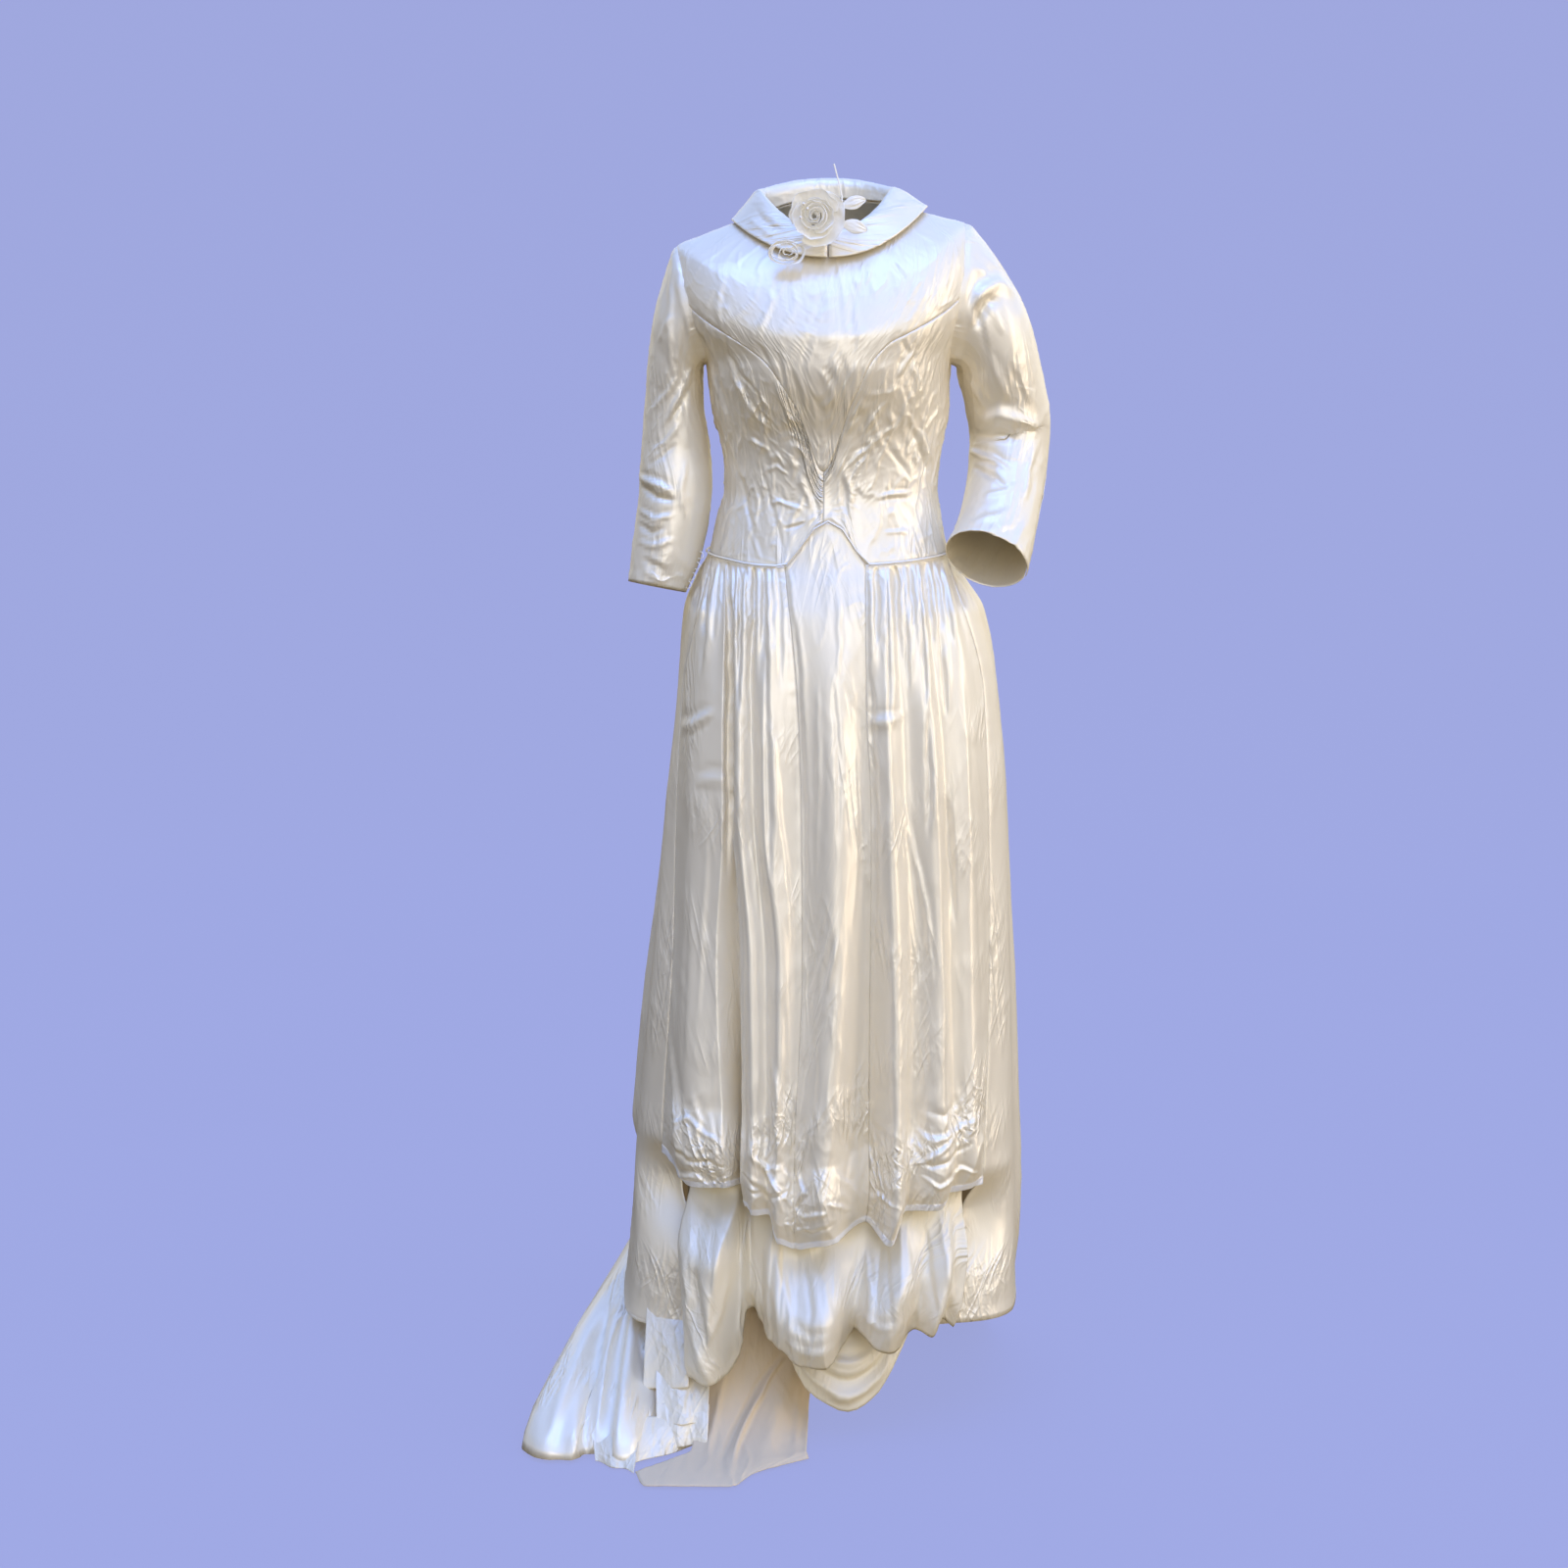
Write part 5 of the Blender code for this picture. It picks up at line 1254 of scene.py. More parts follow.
def skirt_relief(seed=61, hem_puff=True):
    def relief(base, face, u, v, across, down):
        x, y, z = base.T
        arc = np.arctan2(x, -y) * 0.2
        front = smooth(-face[:, 1] * 2.0 + 0.4) * (y < 0.02)
        fine = crumple(arc, z, 0.055, 84, 3.0, seed)
        low = smooth((-1.02 - z) / 0.12)
        lift = fine * (0.0004 + 0.0012 * low * hem_puff)
        lift = lift + 0.0010 * noise(arc * 14, z * 3, seed + 4)
        for table in (SKIRT_CREASES, GATHER_CREASES, HEM_CREASES):
            lift = lift + creased(x, z, table, seed) * front
        near = edge_distance(across, down, SEAM_EDGES).ravel()
        lift = lift * (1 - hump(near, 0.005))
        hem = turned_edge(to_hem(down), HEM_TURN, 0.0007)
        return lift + seam_relief(near, down.ravel()) + hem

    return relief


print(f"the hem is turned up by {1000 * HEM_TURN} mm")

# %% [markdown]
# The front panels have many rows near the hem, where the puckers are. The side panels are nearly
# smooth and need fewer columns.

# %% Panels of the skirt
SKIRT_ROWS = np.append(np.linspace(0, 0.86, 150), np.linspace(0.86, 1, 60)[1:])
first, last = CENTRE_PANEL_LINES
end = len(FOLD_LINES) - 1
for name, begin, stop, columns in (
    ("skirt_centre_front", first, last, 60),
    ("skirt_side_front_right", 0, first, 134),
    ("skirt_side_front_left", last, end, 118),
):
    across = np.linspace(begin, stop, columns)
    relief = skirt_relief()
    # The front's turned-up hem gets a painted highlight, as wide as the turn
    panel(name, skirt_front, across, SKIRT_ROWS, relief, crush=skirt_crush, painted_highlight_band=HEM_TURN)
for turn, side in ((1, "left"), (-1, "right")):
    relief = skirt_relief(71, False)
    form = side_panel(turn)
    panel(f"skirt_side_{side}", form, 32, 150, relief, flip=turn < 0, crush=train_crush)

# %% [markdown]
# ## Back and train
#
# The back panels hang from the waist, leave the rings at two thirds of their length and sweep out
# into the train. Such a train could be simulated, sliding out over the floor. Its flares are known
# from in front, so they are formed instead: each line goes down a ring angle, then fans out to a
# hem point of its own.

# %% Form of the back panels
# Back panels and train: each line goes down a ring angle, then fans out to its own hem point
# angle, z where it leaves the ring, hem x, hem y, hem height over the floor
TRAIN_LINES = (
    (-88.0, -1.2, -0.166, -0.128, 0.06),
    (-90.5, -1.21, -0.19, -0.162, 0.03),
    (-93.5, -1.22, -0.206, -0.19, 0.004),
    (-97.0, -1.23, -0.228, -0.226, 0.0),
    (-101.0, -1.24, -0.258, -0.264, 0.0),
    (-105.5, -1.23, -0.29, -0.232, 0.0),
    (-110.0, -1.23, -0.322, -0.254, 0.0),
    (-114.0, -1.23, -0.354, -0.25, 0.0),
    (-118.0, -1.23, -0.385, -0.208, 0.0),
    (-122.5, -1.22, -0.372, -0.095, 0.0),
    (-127.5, -1.21, -0.345, 0.03, 0.0),
    (-135.0, -1.2, -0.316, 0.165, 0.0),
    (-144.0, -1.18, -0.284, 0.305, 0.0),
    (-155.0, -1.16, -0.216, 0.415, 0.0),
    (-167.0, -1.15, -0.11, 0.485, 0.0),
    (-180.0, -1.15, 0.0, 0.485, 0.0),
)
BACK_LINES = (
    (88.0, -1.3, 0.242, 0.004, 0.133),
    (98.0, -1.25, 0.25, 0.075, 0.1),
    (109.0, -1.2, 0.238, 0.16, 0.04),
    (121.0, -1.18, 0.226, 0.235, 0.008),
    (134.0, -1.16, 0.19, 0.33, 0.0),
    (149.0, -1.15, 0.15, 0.42, 0.0),
    (165.0, -1.15, 0.08, 0.485, 0.0),
    (180.0, -1.15, 0.0, 0.485, 0.0),
)
BACK_FOLD = 0.012
BACK_FOLDS = 3
BACK_GATHERS = 6
TRAIN_TUCK = 0.018


def skirt_back(lines):
    """A back panel. u is a place between its lines and v runs from the waist seam to the hem."""

    def form(u, v):
        place = u * (len(lines) - 1)
        k = np.arange(len(lines))
        angle = np.radians(curve(k, column(lines, 0), place))
        leave = curve(k, column(lines, 1), place)
        hem_z = FLOOR + FLOOR_LIFT + curve(k, column(lines, 4), place)
        top = -waist_level(angle)
        z = row_z(v, top, hem_z)
        share = (np.abs(np.degrees(angle)) - SIDE_SEAM) / (180 - SIDE_SEAM)
        across = BACK_FOLD * np.sin(2 * math.pi * BACK_FOLDS * share) * smooth((-0.5 - z) / 0.6)
        under = top - z
        rise = smooth(under / 0.025) * (1 - smooth((under - 0.03) / 0.25))
        across = across + GATHER * rise * np.sin(2 * math.pi * BACK_GATHERS * share)
        across = across * smooth(share / 0.08) * smooth((1 - share) / 0.08)
        if lines is TRAIN_LINES:
            inner = 1 - smooth((u - 0.40) / 0.15)
            across = across - TRAIN_TUCK * smooth((SIDE_SEAM_FREE - z) / 0.07) * inner
        hung = body(angle, -z, across)
        s = np.clip((leave - z) / (leave - hem_z), 0, 1)
        sweep = smooth(s**1.6)
        hem_x = curve(k, column(lines, 2), place)
        hem_y = curve(k, column(lines, 3), place)
        hung[..., 0] += (hem_x - hung[..., 0]) * sweep
        hung[..., 1] += (hem_y - hung[..., 1]) * sweep
        return hung

    return form


print(f"the train reaches {max(column(TRAIN_LINES, 3)):.3f} m behind")

# %% [markdown]
# The relief deepens the two valleys between the flares and frills the edge, which is sewn to its
# lining. It gathers the waist too, finer than in front.

# %% Relief and panels of the back
# Folds of the train, in mm
TRAIN_CREASES = (
    (10.0, -10.0, -271, -1333, -289, -1397, -300, -1474, -304, -1548),
    (8.0, -8.0, -257, -1358, -270, -1436, -277, -1506, -277, -1562),
    (6.0, 4.0, -281, -1364, -289, -1441, -291, -1522),
    (9.0, -3.0, -357, -1496, -335, -1517, -313, -1533),
    (6.0, 3.0, -234, -1493, -246, -1530, -254, -1559),
    (6.0, -3.0, -253, -1493, -261, -1530, -267, -1559),
    (7.0, 3.0, -302, -1415, -330, -1467, -353, -1520),
)


def back_relief(seed, creases=None):
    def relief(base, face, u, v, across, down):
        x, y, z = base.T
        width, length = across.ravel(), down.ravel()
        low = smooth((-1.05 - z) / 0.2)
        fine = crumple(width, length, 0.060, 80, 3.0, seed)
        lift = fine * (0.0005 + 0.0006 * low)
        lift = lift + 0.0015 * noise(width * 9, length * 3, seed + 4)
        gather = noise(width * 60, length * 6, seed + 8) * hump(v - 0.05, 0.05)
        lift = lift + 0.0022 * gather * smooth(v / 0.02)
        if creases:
            lift = lift + 1.4 * creased(x, z, creases, seed + 1) * smooth((-0.02 - y) / 0.04)
        near = edge_distance(across, down, SEAM_EDGES).ravel()
        lift = lift * (1 - hump(near, 0.005))
        hem = to_hem(down)
        frill = 0.0022 * noise(width * 70, length * 20, seed + 9) * hump(hem, 0.014)
        return lift + seam_relief(near, length) + turned_edge(hem, HEM_TURN, 0.0007) + frill

    return relief


for side, lines, columns, rows, relief in (
    ("right", TRAIN_LINES, 130, 140, back_relief(81, TRAIN_CREASES)),
    ("left", BACK_LINES, 64, 110, back_relief(91)),
):
    form, name = skirt_back(lines), f"skirt_back_{side}"
    panel(name, form, columns, rows, relief, flip=side == "right", crush=train_crush)

# %% [markdown]
# ## Lower tier
#
# Below the front hem a gathered tier puffs out, since its edge is drawn in under it. Its hem is not
# level: it hangs in rounded ends with steps up between them. Behind the front it follows that one's
# folds, so the two never cut into each other.

# %% Form of the lower tier
TIER_TOP = -1.13
TIER_PUFF = 0.012
TIER_ENDS = 0.45
# Hem of the tier: rounded ends of its folds, and the steps up between them
# place, z
TIER_HEM = (
    (0.0, -1.4), (0.5, -1.446), (1.2, -1.455), (1.9, -1.457),
    (2.6, -1.448), (2.95, -1.425), (3.4, -1.374), (4.0, -1.374),
    (5.0, -1.39), (6.0, -1.407), (7.0, -1.409), (7.6, -1.419),
    (8.3, -1.425), (9.1, -1.425), (9.7, -1.413), (10.3, -1.393),
    (10.8, -1.396), (11.5, -1.409), (12.4, -1.413), (12.9, -1.4),
    (13.3, -1.396), (14.0, -1.402), (14.5, -1.399), (15.0, -1.388),
    (15.5, -1.399), (16.0, -1.414),
)
# place, how far the tier stands out of the ring behind the front
TIER_HIDDEN = (
    (0.0, -0.024), (1.6, -0.034), (3.0, -0.06), (4.4, -0.034),
    (8.5, -0.03), (10.0, -0.048), (11.5, -0.03), (16.0, -0.024),
)


def lower_tier(u, v):
    """The tier under the front hem. Behind the front it follows that one's folds."""
    hem = curve(column(TIER_HEM, 0), column(TIER_HEM, 1), u)
    front_hem = between_lines(FOLD_DEPTHS, 4, u)
    z = TIER_TOP + (hem - TIER_TOP) * v
    x = line_x(u, z)
    hidden = curve(column(TIER_HIDDEN, 0), column(TIER_HIDDEN, 1), u)
    own = between_lines(FOLD_DEPTHS, 3, eased(u))
    out = hidden + (own - hidden) * smooth((front_hem - 0.012 - z) / 0.09)
    out = out - TIER_PUFF * np.clip((v - 0.86) / 0.14, 0, 1) ** 2
    return body(angle_at(x, -z), -z, out)


print(f"the tier starts {1000 * (TIER_TOP - FLOOR):.0f} mm over the floor")

# %% [markdown]
# The tier is springy satin: its folds are round and wide, and the small gathers sit in a row just
# over the edge.

# %% Relief and panel of the tier
# Folds of the lower tier, in mm
TIER_CREASES = (
    (5.0, 5.0, -182, -1299, -173, -1376, -159, -1436, -138, -1456),
    (4.5, -4.0, -170, -1293, -160, -1370, -144, -1428),
    (4.0, 2.4, -162, -1242, -148, -1263, -126, -1271),
    (4.0, 2.2, -124, -1312, -136, -1364, -151, -1405),
    (5.0, 2.6, -55, -1389, -28, -1405, 6, -1397),
    (5.0, -2.6, -48, -1364, -23, -1379, 1, -1371),
    (4.0, 2.2, -67, -1299, -55, -1338, -60, -1379),
    (4.0, 2.2, 43, -1364, 63, -1379, 85, -1376),
    (4.0, 2.6, -177, -1235, -170, -1312, -176, -1389),
    (4.0, -2.0, -140, -1223, -148, -1312, -142, -1402),
    (3.4, 1.8, -55, -1312, -48, -1364, -53, -1415),
    (3.4, 2.0, -9, -1312, 6, -1364, 14, -1405),
    (3.4, -1.8, -31, -1299, -21, -1351, -26, -1402),
    (3.2, 1.8, 48, -1299, 53, -1351, 46, -1389),
    (3.2, -1.6, 73, -1286, 77, -1351, 85, -1410),
    (3.2, 2.0, 98, -1263, 104, -1325, 117, -1389),
    (3.2, 1.8, 140, -1248, 151, -1312, 159, -1376),
    (3.2, -1.8, 122, -1261, 129, -1325, 139, -1376),
)


def tier_relief(base, face, u, v, across, down):
    x, y, z = base.T
    width, length, hem = across.ravel(), down.ravel(), to_hem(down)
    fine = crumple(width, length, 0.060, 68, 2.0, 101)
    lift = 0.0007 * fine + 0.0014 * noise(width * 12, length * 6, 105)
    lift = lift + creased(x, z, TIER_CREASES, 106) * smooth(-face[:, 1] * 2 + 0.4)
    gather = noise(width * 85, length * 14, 107) * hump(hem - 0.016, 0.014)
    return lift + 0.0030 * gather + turned_edge(hem, 0.010, 0.0007)


across = np.linspace(TIER_ENDS, end - TIER_ENDS, 240)
panel("lower_tier", lower_tier, across, 64, tier_relief)

# %% [markdown]
# ## Underskirt
#
# The underskirt is a plain tube well inside the skirt, which ends in a small swag at the front.
# Only the swag shows, so most of its rows are there. A straight tube would do for the rest.

# %% Underskirt
UNDERSKIRT_TOP = -0.450
# Underskirt: how far it lies inside the ring, and its hem with the swag at the front
UNDERSKIRT_INSIDE = 0.064
SWAG_OUT = 0.030
# angle, z of the hem
UNDERSKIRT_HEM = (
    (-70.0, -1.34), (-38.0, -1.345), (-22.0, -1.375), (-12.0, -1.42),
    (-4.0, -1.48), (5.0, -1.504), (14.0, -1.488), (24.0, -1.44),
    (38.0, -1.385), (70.0, -1.34),
)

# Folds of the underskirt's swag, in mm
SWAG_CREASES = (
    (6.0, 5.0, -37, -1443, -9, -1469, 21, -1487, 48, -1477, 83, -1445),
    (4.0, -3.0, -28, -1435, 1, -1456, 28, -1464, 53, -1456, 78, -1435),
    (4.5, 3.0, -16, -1427, 9, -1440, 31, -1444, 56, -1437),
    (3.5, 2.0, 6, -1492, 21, -1482, 36, -1458),
    (3.5, -2.0, 43, -1492, 56, -1471, 68, -1450),
)


def underskirt(u, v):
    """A plain tube well inside the skirt, whose hem falls in a swag at the front."""
    degrees = 360 * u - 180
    angle = np.radians(degrees)
    hem = curve(column(UNDERSKIRT_HEM, 0), column(UNDERSKIRT_HEM, 1), degrees)
    z = UNDERSKIRT_TOP + (hem - UNDERSKIRT_TOP) * v
    inside = UNDERSKIRT_INSIDE * smooth((UNDERSKIRT_TOP + 0.02 - z) / 0.35) + 0.012
    swag = SWAG_OUT * smooth((-1.37 - z) / 0.09)
    ripple = 0.006 * np.sin(9 * angle + 1.2) * smooth((-0.7 - z) / 0.4)
    return body(angle, -z, swag + ripple - inside)


def swag_relief(base, face, u, v, across, down):
    x, y, z = base.T
    lift = 0.0012 * crumple(across.ravel(), down.ravel(), 0.06, 75, 2.4, 111)
    lift = lift + 1.6 * creased(x, z, SWAG_CREASES, 112) * smooth(-face[:, 1] * 2 + 0.5)
    return lift + turned_edge(to_hem(down), 0.012, 0.0005)


down = np.append(np.linspace(0, 0.85, 16), np.linspace(0.85, 1, 44)[1:])
panel("underskirt", underskirt, 141, down, swag_relief, loop=True)

# %% [markdown]
# ## Train lining
#
# The lining of the train is limp crepe. It hangs from inside the tier, turns at the floor and lies
# on it, and one long diagonal fold crosses it.

# %% Train lining
# Train lining: it hangs from inside the tier, turns at the floor and lies on it
# top x, y and z, then x and y where it turns, then x and y of the hem
LINING_LINES = (
    (-0.132, -0.104, -1.3, -0.172, -0.236, -0.238, -0.286),
    (-0.112, -0.116, -1.35, -0.146, -0.254, -0.222, -0.327),
    (-0.088, -0.112, -1.4, -0.112, -0.26, -0.122, -0.329),
    (-0.058, -0.112, -1.44, -0.072, -0.256, -0.09, -0.29),
    (-0.022, -0.11, -1.5, -0.027, -0.233, -0.024, -0.246),
)
LINING_TURN = 0.72

# Folds of the hanging lining, in mm
LINING_CREASES = (
    (2.6, 5.5, -54, -1451, -100, -1509, -152, -1574),
    (3.4, -4.0, -61, -1448, -108, -1504, -160, -1569),
    (14.0, 4.0, -41, -1461, -69, -1514, -104, -1568),
    (4.0, 2.0, -36, -1488, -41, -1528, -57, -1565),
    (4.0, 2.0, -131, -1461, -142, -1501, -155, -1541),
)


def train_lining(u, v):
    place = u * (len(LINING_LINES) - 1)
    k = np.arange(len(LINING_LINES))
    rows = [curve(k, column(LINING_LINES, c), place) for c in range(7)]
    top_x, top_y, top_z, turn_x, turn_y, hem_x, hem_y = rows
    fall = np.clip(v / LINING_TURN, -0.1, 1)
    lie = np.clip((v - LINING_TURN) / (1 - LINING_TURN), 0, 1.1)
    x = top_x + (turn_x - top_x) * fall + (hem_x - turn_x) * lie
    y = top_y + (turn_y - top_y) * np.sign(fall) * np.abs(fall) ** 2.2 + (hem_y - turn_y) * lie
    low = FLOOR + FLOOR_LIFT
    z = top_z + (low + 0.004 - top_z) * (1 - (1 - fall) ** 1.35) - 0.004 * lie
    return np.stack([x, y, z], axis=-1)


def lining_relief(base, face, u, v, across, down):
    x, y, z = base.T
    lift = 0.0012 * crumple(across.ravel(), down.ravel(), 0.05, 75, 2.4, 121)
    return lift + creased(x, z, LINING_CREASES, 122) * smooth((z - FLOOR - 0.004) / 0.01)


panel("train_lining", train_lining, 70, 70, lining_relief)

# %% [markdown]
# ## Stacked pleats of the train
#
# Beside the lower tier, the inner edge of the train lies in stacked pleats. The frame leaves them
# out, since they are thin and hidden but for their corners. Each one is a strip between four
# corners, bent in waves that grow towards its hem.

# %% Pleats
# name, waves, then x, y, z at the top left, top right, bottom left and bottom right
PLEATS = (
    ("train_pleat_upper", 0.8, (-0.233, -0.113, -1.382), (-0.178, -0.124, -1.388),
     (-0.236, -0.166, -1.480), (-0.176, -0.182, -1.468)),
    ("train_pleat_middle", 1.4, (-0.220, -0.152, -1.450), (-0.150, -0.164, -1.450),
     (-0.216, -0.204, -1.508), (-0.152, -0.212, -1.506)),
    ("train_pleat_lower", 1.6, (-0.218, -0.188, -1.488), (-0.150, -0.194, -1.486),
     (-0.214, -0.216, -1.532), (-0.152, -0.224, -1.531)),
    ("train_pleat_floor", 1.0, (-0.232, -0.200, -1.500), (-0.166, -0.190, -1.505),
     (-0.246, -0.268, -1.536), (-0.170, -0.205, -1.537)),
    ("train_hem_left_fold", 2.5, (-0.372, -0.168, -1.522), (-0.300, -0.190, -1.522),
     (-0.384, -0.204, -1.538), (-0.302, -0.222, -1.538)),
    ("train_hem_right_fold", 1.5, (-0.296, -0.215, -1.515), (-0.236, -0.225, -1.512),
     (-0.290, -0.252, -1.538), (-0.240, -0.284, -1.538)),
)


def pleat(waves, *corners):
    top_left, top_right, low_left, low_right = [np.array(corner) for corner in corners]

    def form(u, v):
        u, v = u[:, None], v[:, None]
        top = top_left + (top_right - top_left) * u
        low = low_left + (low_right - low_left) * u
        point = top + (low - top) * v
        wave = np.sin(2 * math.pi * waves * u + 0.6) * (0.001 + 0.003 * v)
        sag = 0.004 * np.sin(math.pi * v)
        return point + np.concatenate([0 * u, wave - sag, 0 * u], axis=1)

    return form


def pleat_relief(base, face, u, v, across, down):
    fine = crumple(across.ravel(), down.ravel(), 0.06, 75, 2.4, 171)
    return 0.0008 * fine + turned_edge(to_hem(down), 0.012, 0.0005)


for name, waves, *corners in PLEATS:
    panel(name, pleat(waves, *corners), 40, 34, pleat_relief, crush=train_crush, extra=True)

# %% [markdown]
# ## Rose
#
# The rose is rolled from strips of organza, stiff enough to stand on edge. Petals could be cut out
# one by one, but a real silk rose is wound, so each ring here is an open strip with a curled rim.

# %% Petals and core
ORGANZA_THICK = 0.0003
# Rose at the front of the collar; it faces forward
ROSE_CENTRE = (-0.016, -0.014)
ROSE_BACK = -0.1065
# start angle, span, radius at the rim, depth
PETALS = (
    (200.0, 215.0, 0.018, 0.027),
    (335.0, 205.0, 0.0225, 0.025),
    (115.0, 200.0, 0.027, 0.023),
    (250.0, 190.0, 0.0318, 0.0205),
    (25.0, 185.0, 0.0368, 0.018),
)
CORE_RADIUS = 0.0118
CORE_DEPTH = 0.030


def petal(start, span, radius, depth):
    def form(u, v):
        turn = np.radians(start + span * u)
        rise = v * (1 - 0.25 * (2 * u - 1) ** 4)
        reach = radius * (0.40 + 0.60 * np.abs(rise) ** 0.7)
        x = ROSE_CENTRE[0] + reach * np.sin(turn)
        z = ROSE_CENTRE[1] + reach * np.cos(turn)
        return np.stack([x, ROSE_BACK - 0.001 - depth * rise, z], axis=-1)

    return form


def rose_core(u, v):
    turn = 2 * math.pi * 1.6 * u
    reach = CORE_RADIUS * (0.30 + 0.70 * u) * (0.45 + 0.25 * v)
    x = ROSE_CENTRE[0] + reach * np.sin(turn)
    z = ROSE_CENTRE[1] + reach * np.cos(turn)
    return np.stack([x, ROSE_BACK - 0.001 - CORE_DEPTH * v, z], axis=-1)


def organza_strip(node, form, columns, rows, seed, flip=True, loop=False, extra=False):
    """A strip of the rose, with a rim that curls and a surface that is never quite flat."""

    def relief(base, face, u, v, across, down):
        curl = 0.0030 * noise(u * 7, v * 2 + seed, seed) * v**2
        return curl + 0.0003 * noise(across.ravel() * 300, down.ravel() * 80, seed + 1)

    panel(node, form, columns, rows, relief, None, flip, loop, ORGANZA_THICK, extra=extra)


for number, row in enumerate(PETALS, 1):
    organza_strip(f"rose_petal_{number}", petal(*row), 70, 16, 130 + number)
organza_strip("rose_core", rose_core, 70, 12, 140)

# %% [markdown]
# Under the rose hangs a bud: one loop of ribbon that the frame has, with three smaller ones inside
# it. The heart of the rose is a single ribbon rolled three times, open like a cup.

# %% Bud and heart
BUD_CENTRE = (-0.050, -0.112, -0.057)
BUD_HALF = (0.0190, 0.0125)


def bud_loop(u, v):
    turn = 2 * math.pi * u
    flare = 1 + 0.15 * v
    x = BUD_CENTRE[0] + BUD_HALF[0] * flare * np.sin(turn)
    z = BUD_CENTRE[2] + BUD_HALF[1] * flare * np.cos(turn)
    return np.stack([x, BUD_CENTRE[1] - 0.009 * v + 0 * x, z], axis=-1)


def small_loop(scale, aside, below):
    def form(u, v):
        points = bud_loop(u, v)
        points[:, 0] = BUD_CENTRE[0] + aside + (points[:, 0] - BUD_CENTRE[0]) * scale
        points[:, 2] = BUD_CENTRE[2] + below + (points[:, 2] - BUD_CENTRE[2]) * scale
        points[:, 1] -= 0.002 * (1 - scale)
        return points

    return form


def rose_heart(u, v):
    """A ribbon of organza rolled three times in the middle of the rose, open like a cup."""
    turn = 2 * math.pi * 3.2 * u
    reach = 0.0025 + 0.0145 * u + 0.0015 * v + 0.0006 * np.sin(23 * u)
    x = ROSE_CENTRE[0] + reach * np.sin(turn)
    z = ROSE_CENTRE[1] + reach * np.cos(turn)
    return np.stack([x, ROSE_BACK - 0.016 - (0.013 - 0.003 * u) * v, z], axis=-1)


organza_strip("rose_bud", bud_loop, 61, 10, 141, loop=True)
organza_strip("rose_heart", rose_heart, 200, 10, 142, extra=True)
# size, then how far the loop is moved aside and up
BUD_RIBBONS = ((0.74, -0.002, 0.001), (0.50, 0.001, -0.001), (0.26, 0.002, 0.001))
for number, sizes in enumerate(BUD_RIBBONS, 1):
    name, form = f"rose_bud_ribbon_{number}", small_loop(*sizes)
    organza_strip(name, form, 61, 8, 143 + number, loop=True, extra=True)

# %% [markdown]
# Three small glass pearls sit on the petals. A sphere of this size needs few faces.

# %% Pearls
# x, y, z and radius of the three glass pearls in the rose
PEARLS = (
    (-0.0292, -0.136, -0.0001, 0.0019),
    (-0.0245, -0.1351, -0.0058, 0.0017),
    (-0.0327, -0.1358, -0.0161, 0.0018),
)

pearls = []
for number, (x, y, z, radius) in enumerate(PEARLS, 1):
    build = bmesh.new()
    bmesh.ops.create_uvsphere(build, u_segments=24, v_segments=16, radius=radius)
    bmesh.ops.translate(build, vec=(x, y, z), verts=build.verts[:])
    name = f"rose_pearl_{number}"
    pearl = placed(name, finished_mesh(name, build))
    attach(pearl, "root")
    pearls.append(pearl)
print("pearls:", len(pearls))

# %% [markdown]
# Two leaves are cut from the same organza and bent along the middle.

# %% Leaves
# base x and z, tip x and z, half width
LEAVES = ((0.017, -0.022, 0.047, -0.030, 0.0085), (0.017, -0.002, 0.045, 0.006, 0.0080))
LEAF_Y = -0.1125


def leaf(base_x, base_z, tip_x, tip_z, half):
    along = np.array([tip_x - base_x, tip_z - base_z])
    across = np.array([-along[1], along[0]]) / np.hypot(*along)

    def form(u, v):
        wide = half * (0.15 + np.sin(math.pi * np.clip(v, 0, 1)) ** 0.8 * 0.85) * (2 * u - 1)
        x = base_x + along[0] * v + across[0] * wide
        z = base_z + along[1] * v + across[1] * wide
        y = LEAF_Y - 0.005 * np.sin(math.pi * v) + 0.12 * np.abs(wide)
        return np.stack([x, y, z], axis=-1)

    return form


for number, row in enumerate(LEAVES, 1):
    organza_strip(f"rose_leaf_{number}", leaf(*row), 16, 30, 150 + number, flip=False)

# %% [markdown]
# ## Materials
#
# Satin is woven so that long threads lie side by side on its face. They reflect like a soft mirror,
# which is why the yoke takes the colour of the sky and the folds turn dark and light so fast. That
# look needs a strong, slightly blurred reflection over a cream colour. A cloth's usual sheen would
# not do, since it brightens only the rims. The organza, the thread and the lining are dull in turn.

# %% Colours and nodes
def linear(code):
    """A colour picked as a hex code, turned to the linear values that the shaders use."""
    values = [int(code[k : k + 2], 16) / 255 for k in (0, 2, 4)]
    return (*[v / 12.92 if v < 0.04045 else ((v + 0.055) / 1.055) ** 2.4 for v in values], 1.0)


def add(tree, kind, settings=None, links=None):
    """Adds a node. Settings are properties or inputs; links join inputs to other sockets."""
    made = tree.nodes.new(kind)
    for key, value in (settings or {}).items():
        if isinstance(key, str) and hasattr(made, key):
            setattr(made, key, value)
        else:
            made.inputs[key].default_value = value
    for key, socket in (links or {}).items():
        tree.links.new(socket, made.inputs[key])
    return made


print("cream, as the shaders read it:", [round(value, 3) for value in linear("F6ECD4")])

# %% [markdown]
# Satin also holds many creases that are too low for the mesh. A bump draws them: noise folded up
# at its middle value into sharp ridges, in four sizes and directions, which come and go in patches.
# A picture of creases could be tiled, but it would repeat and would not know where the cloth is
# crushed.

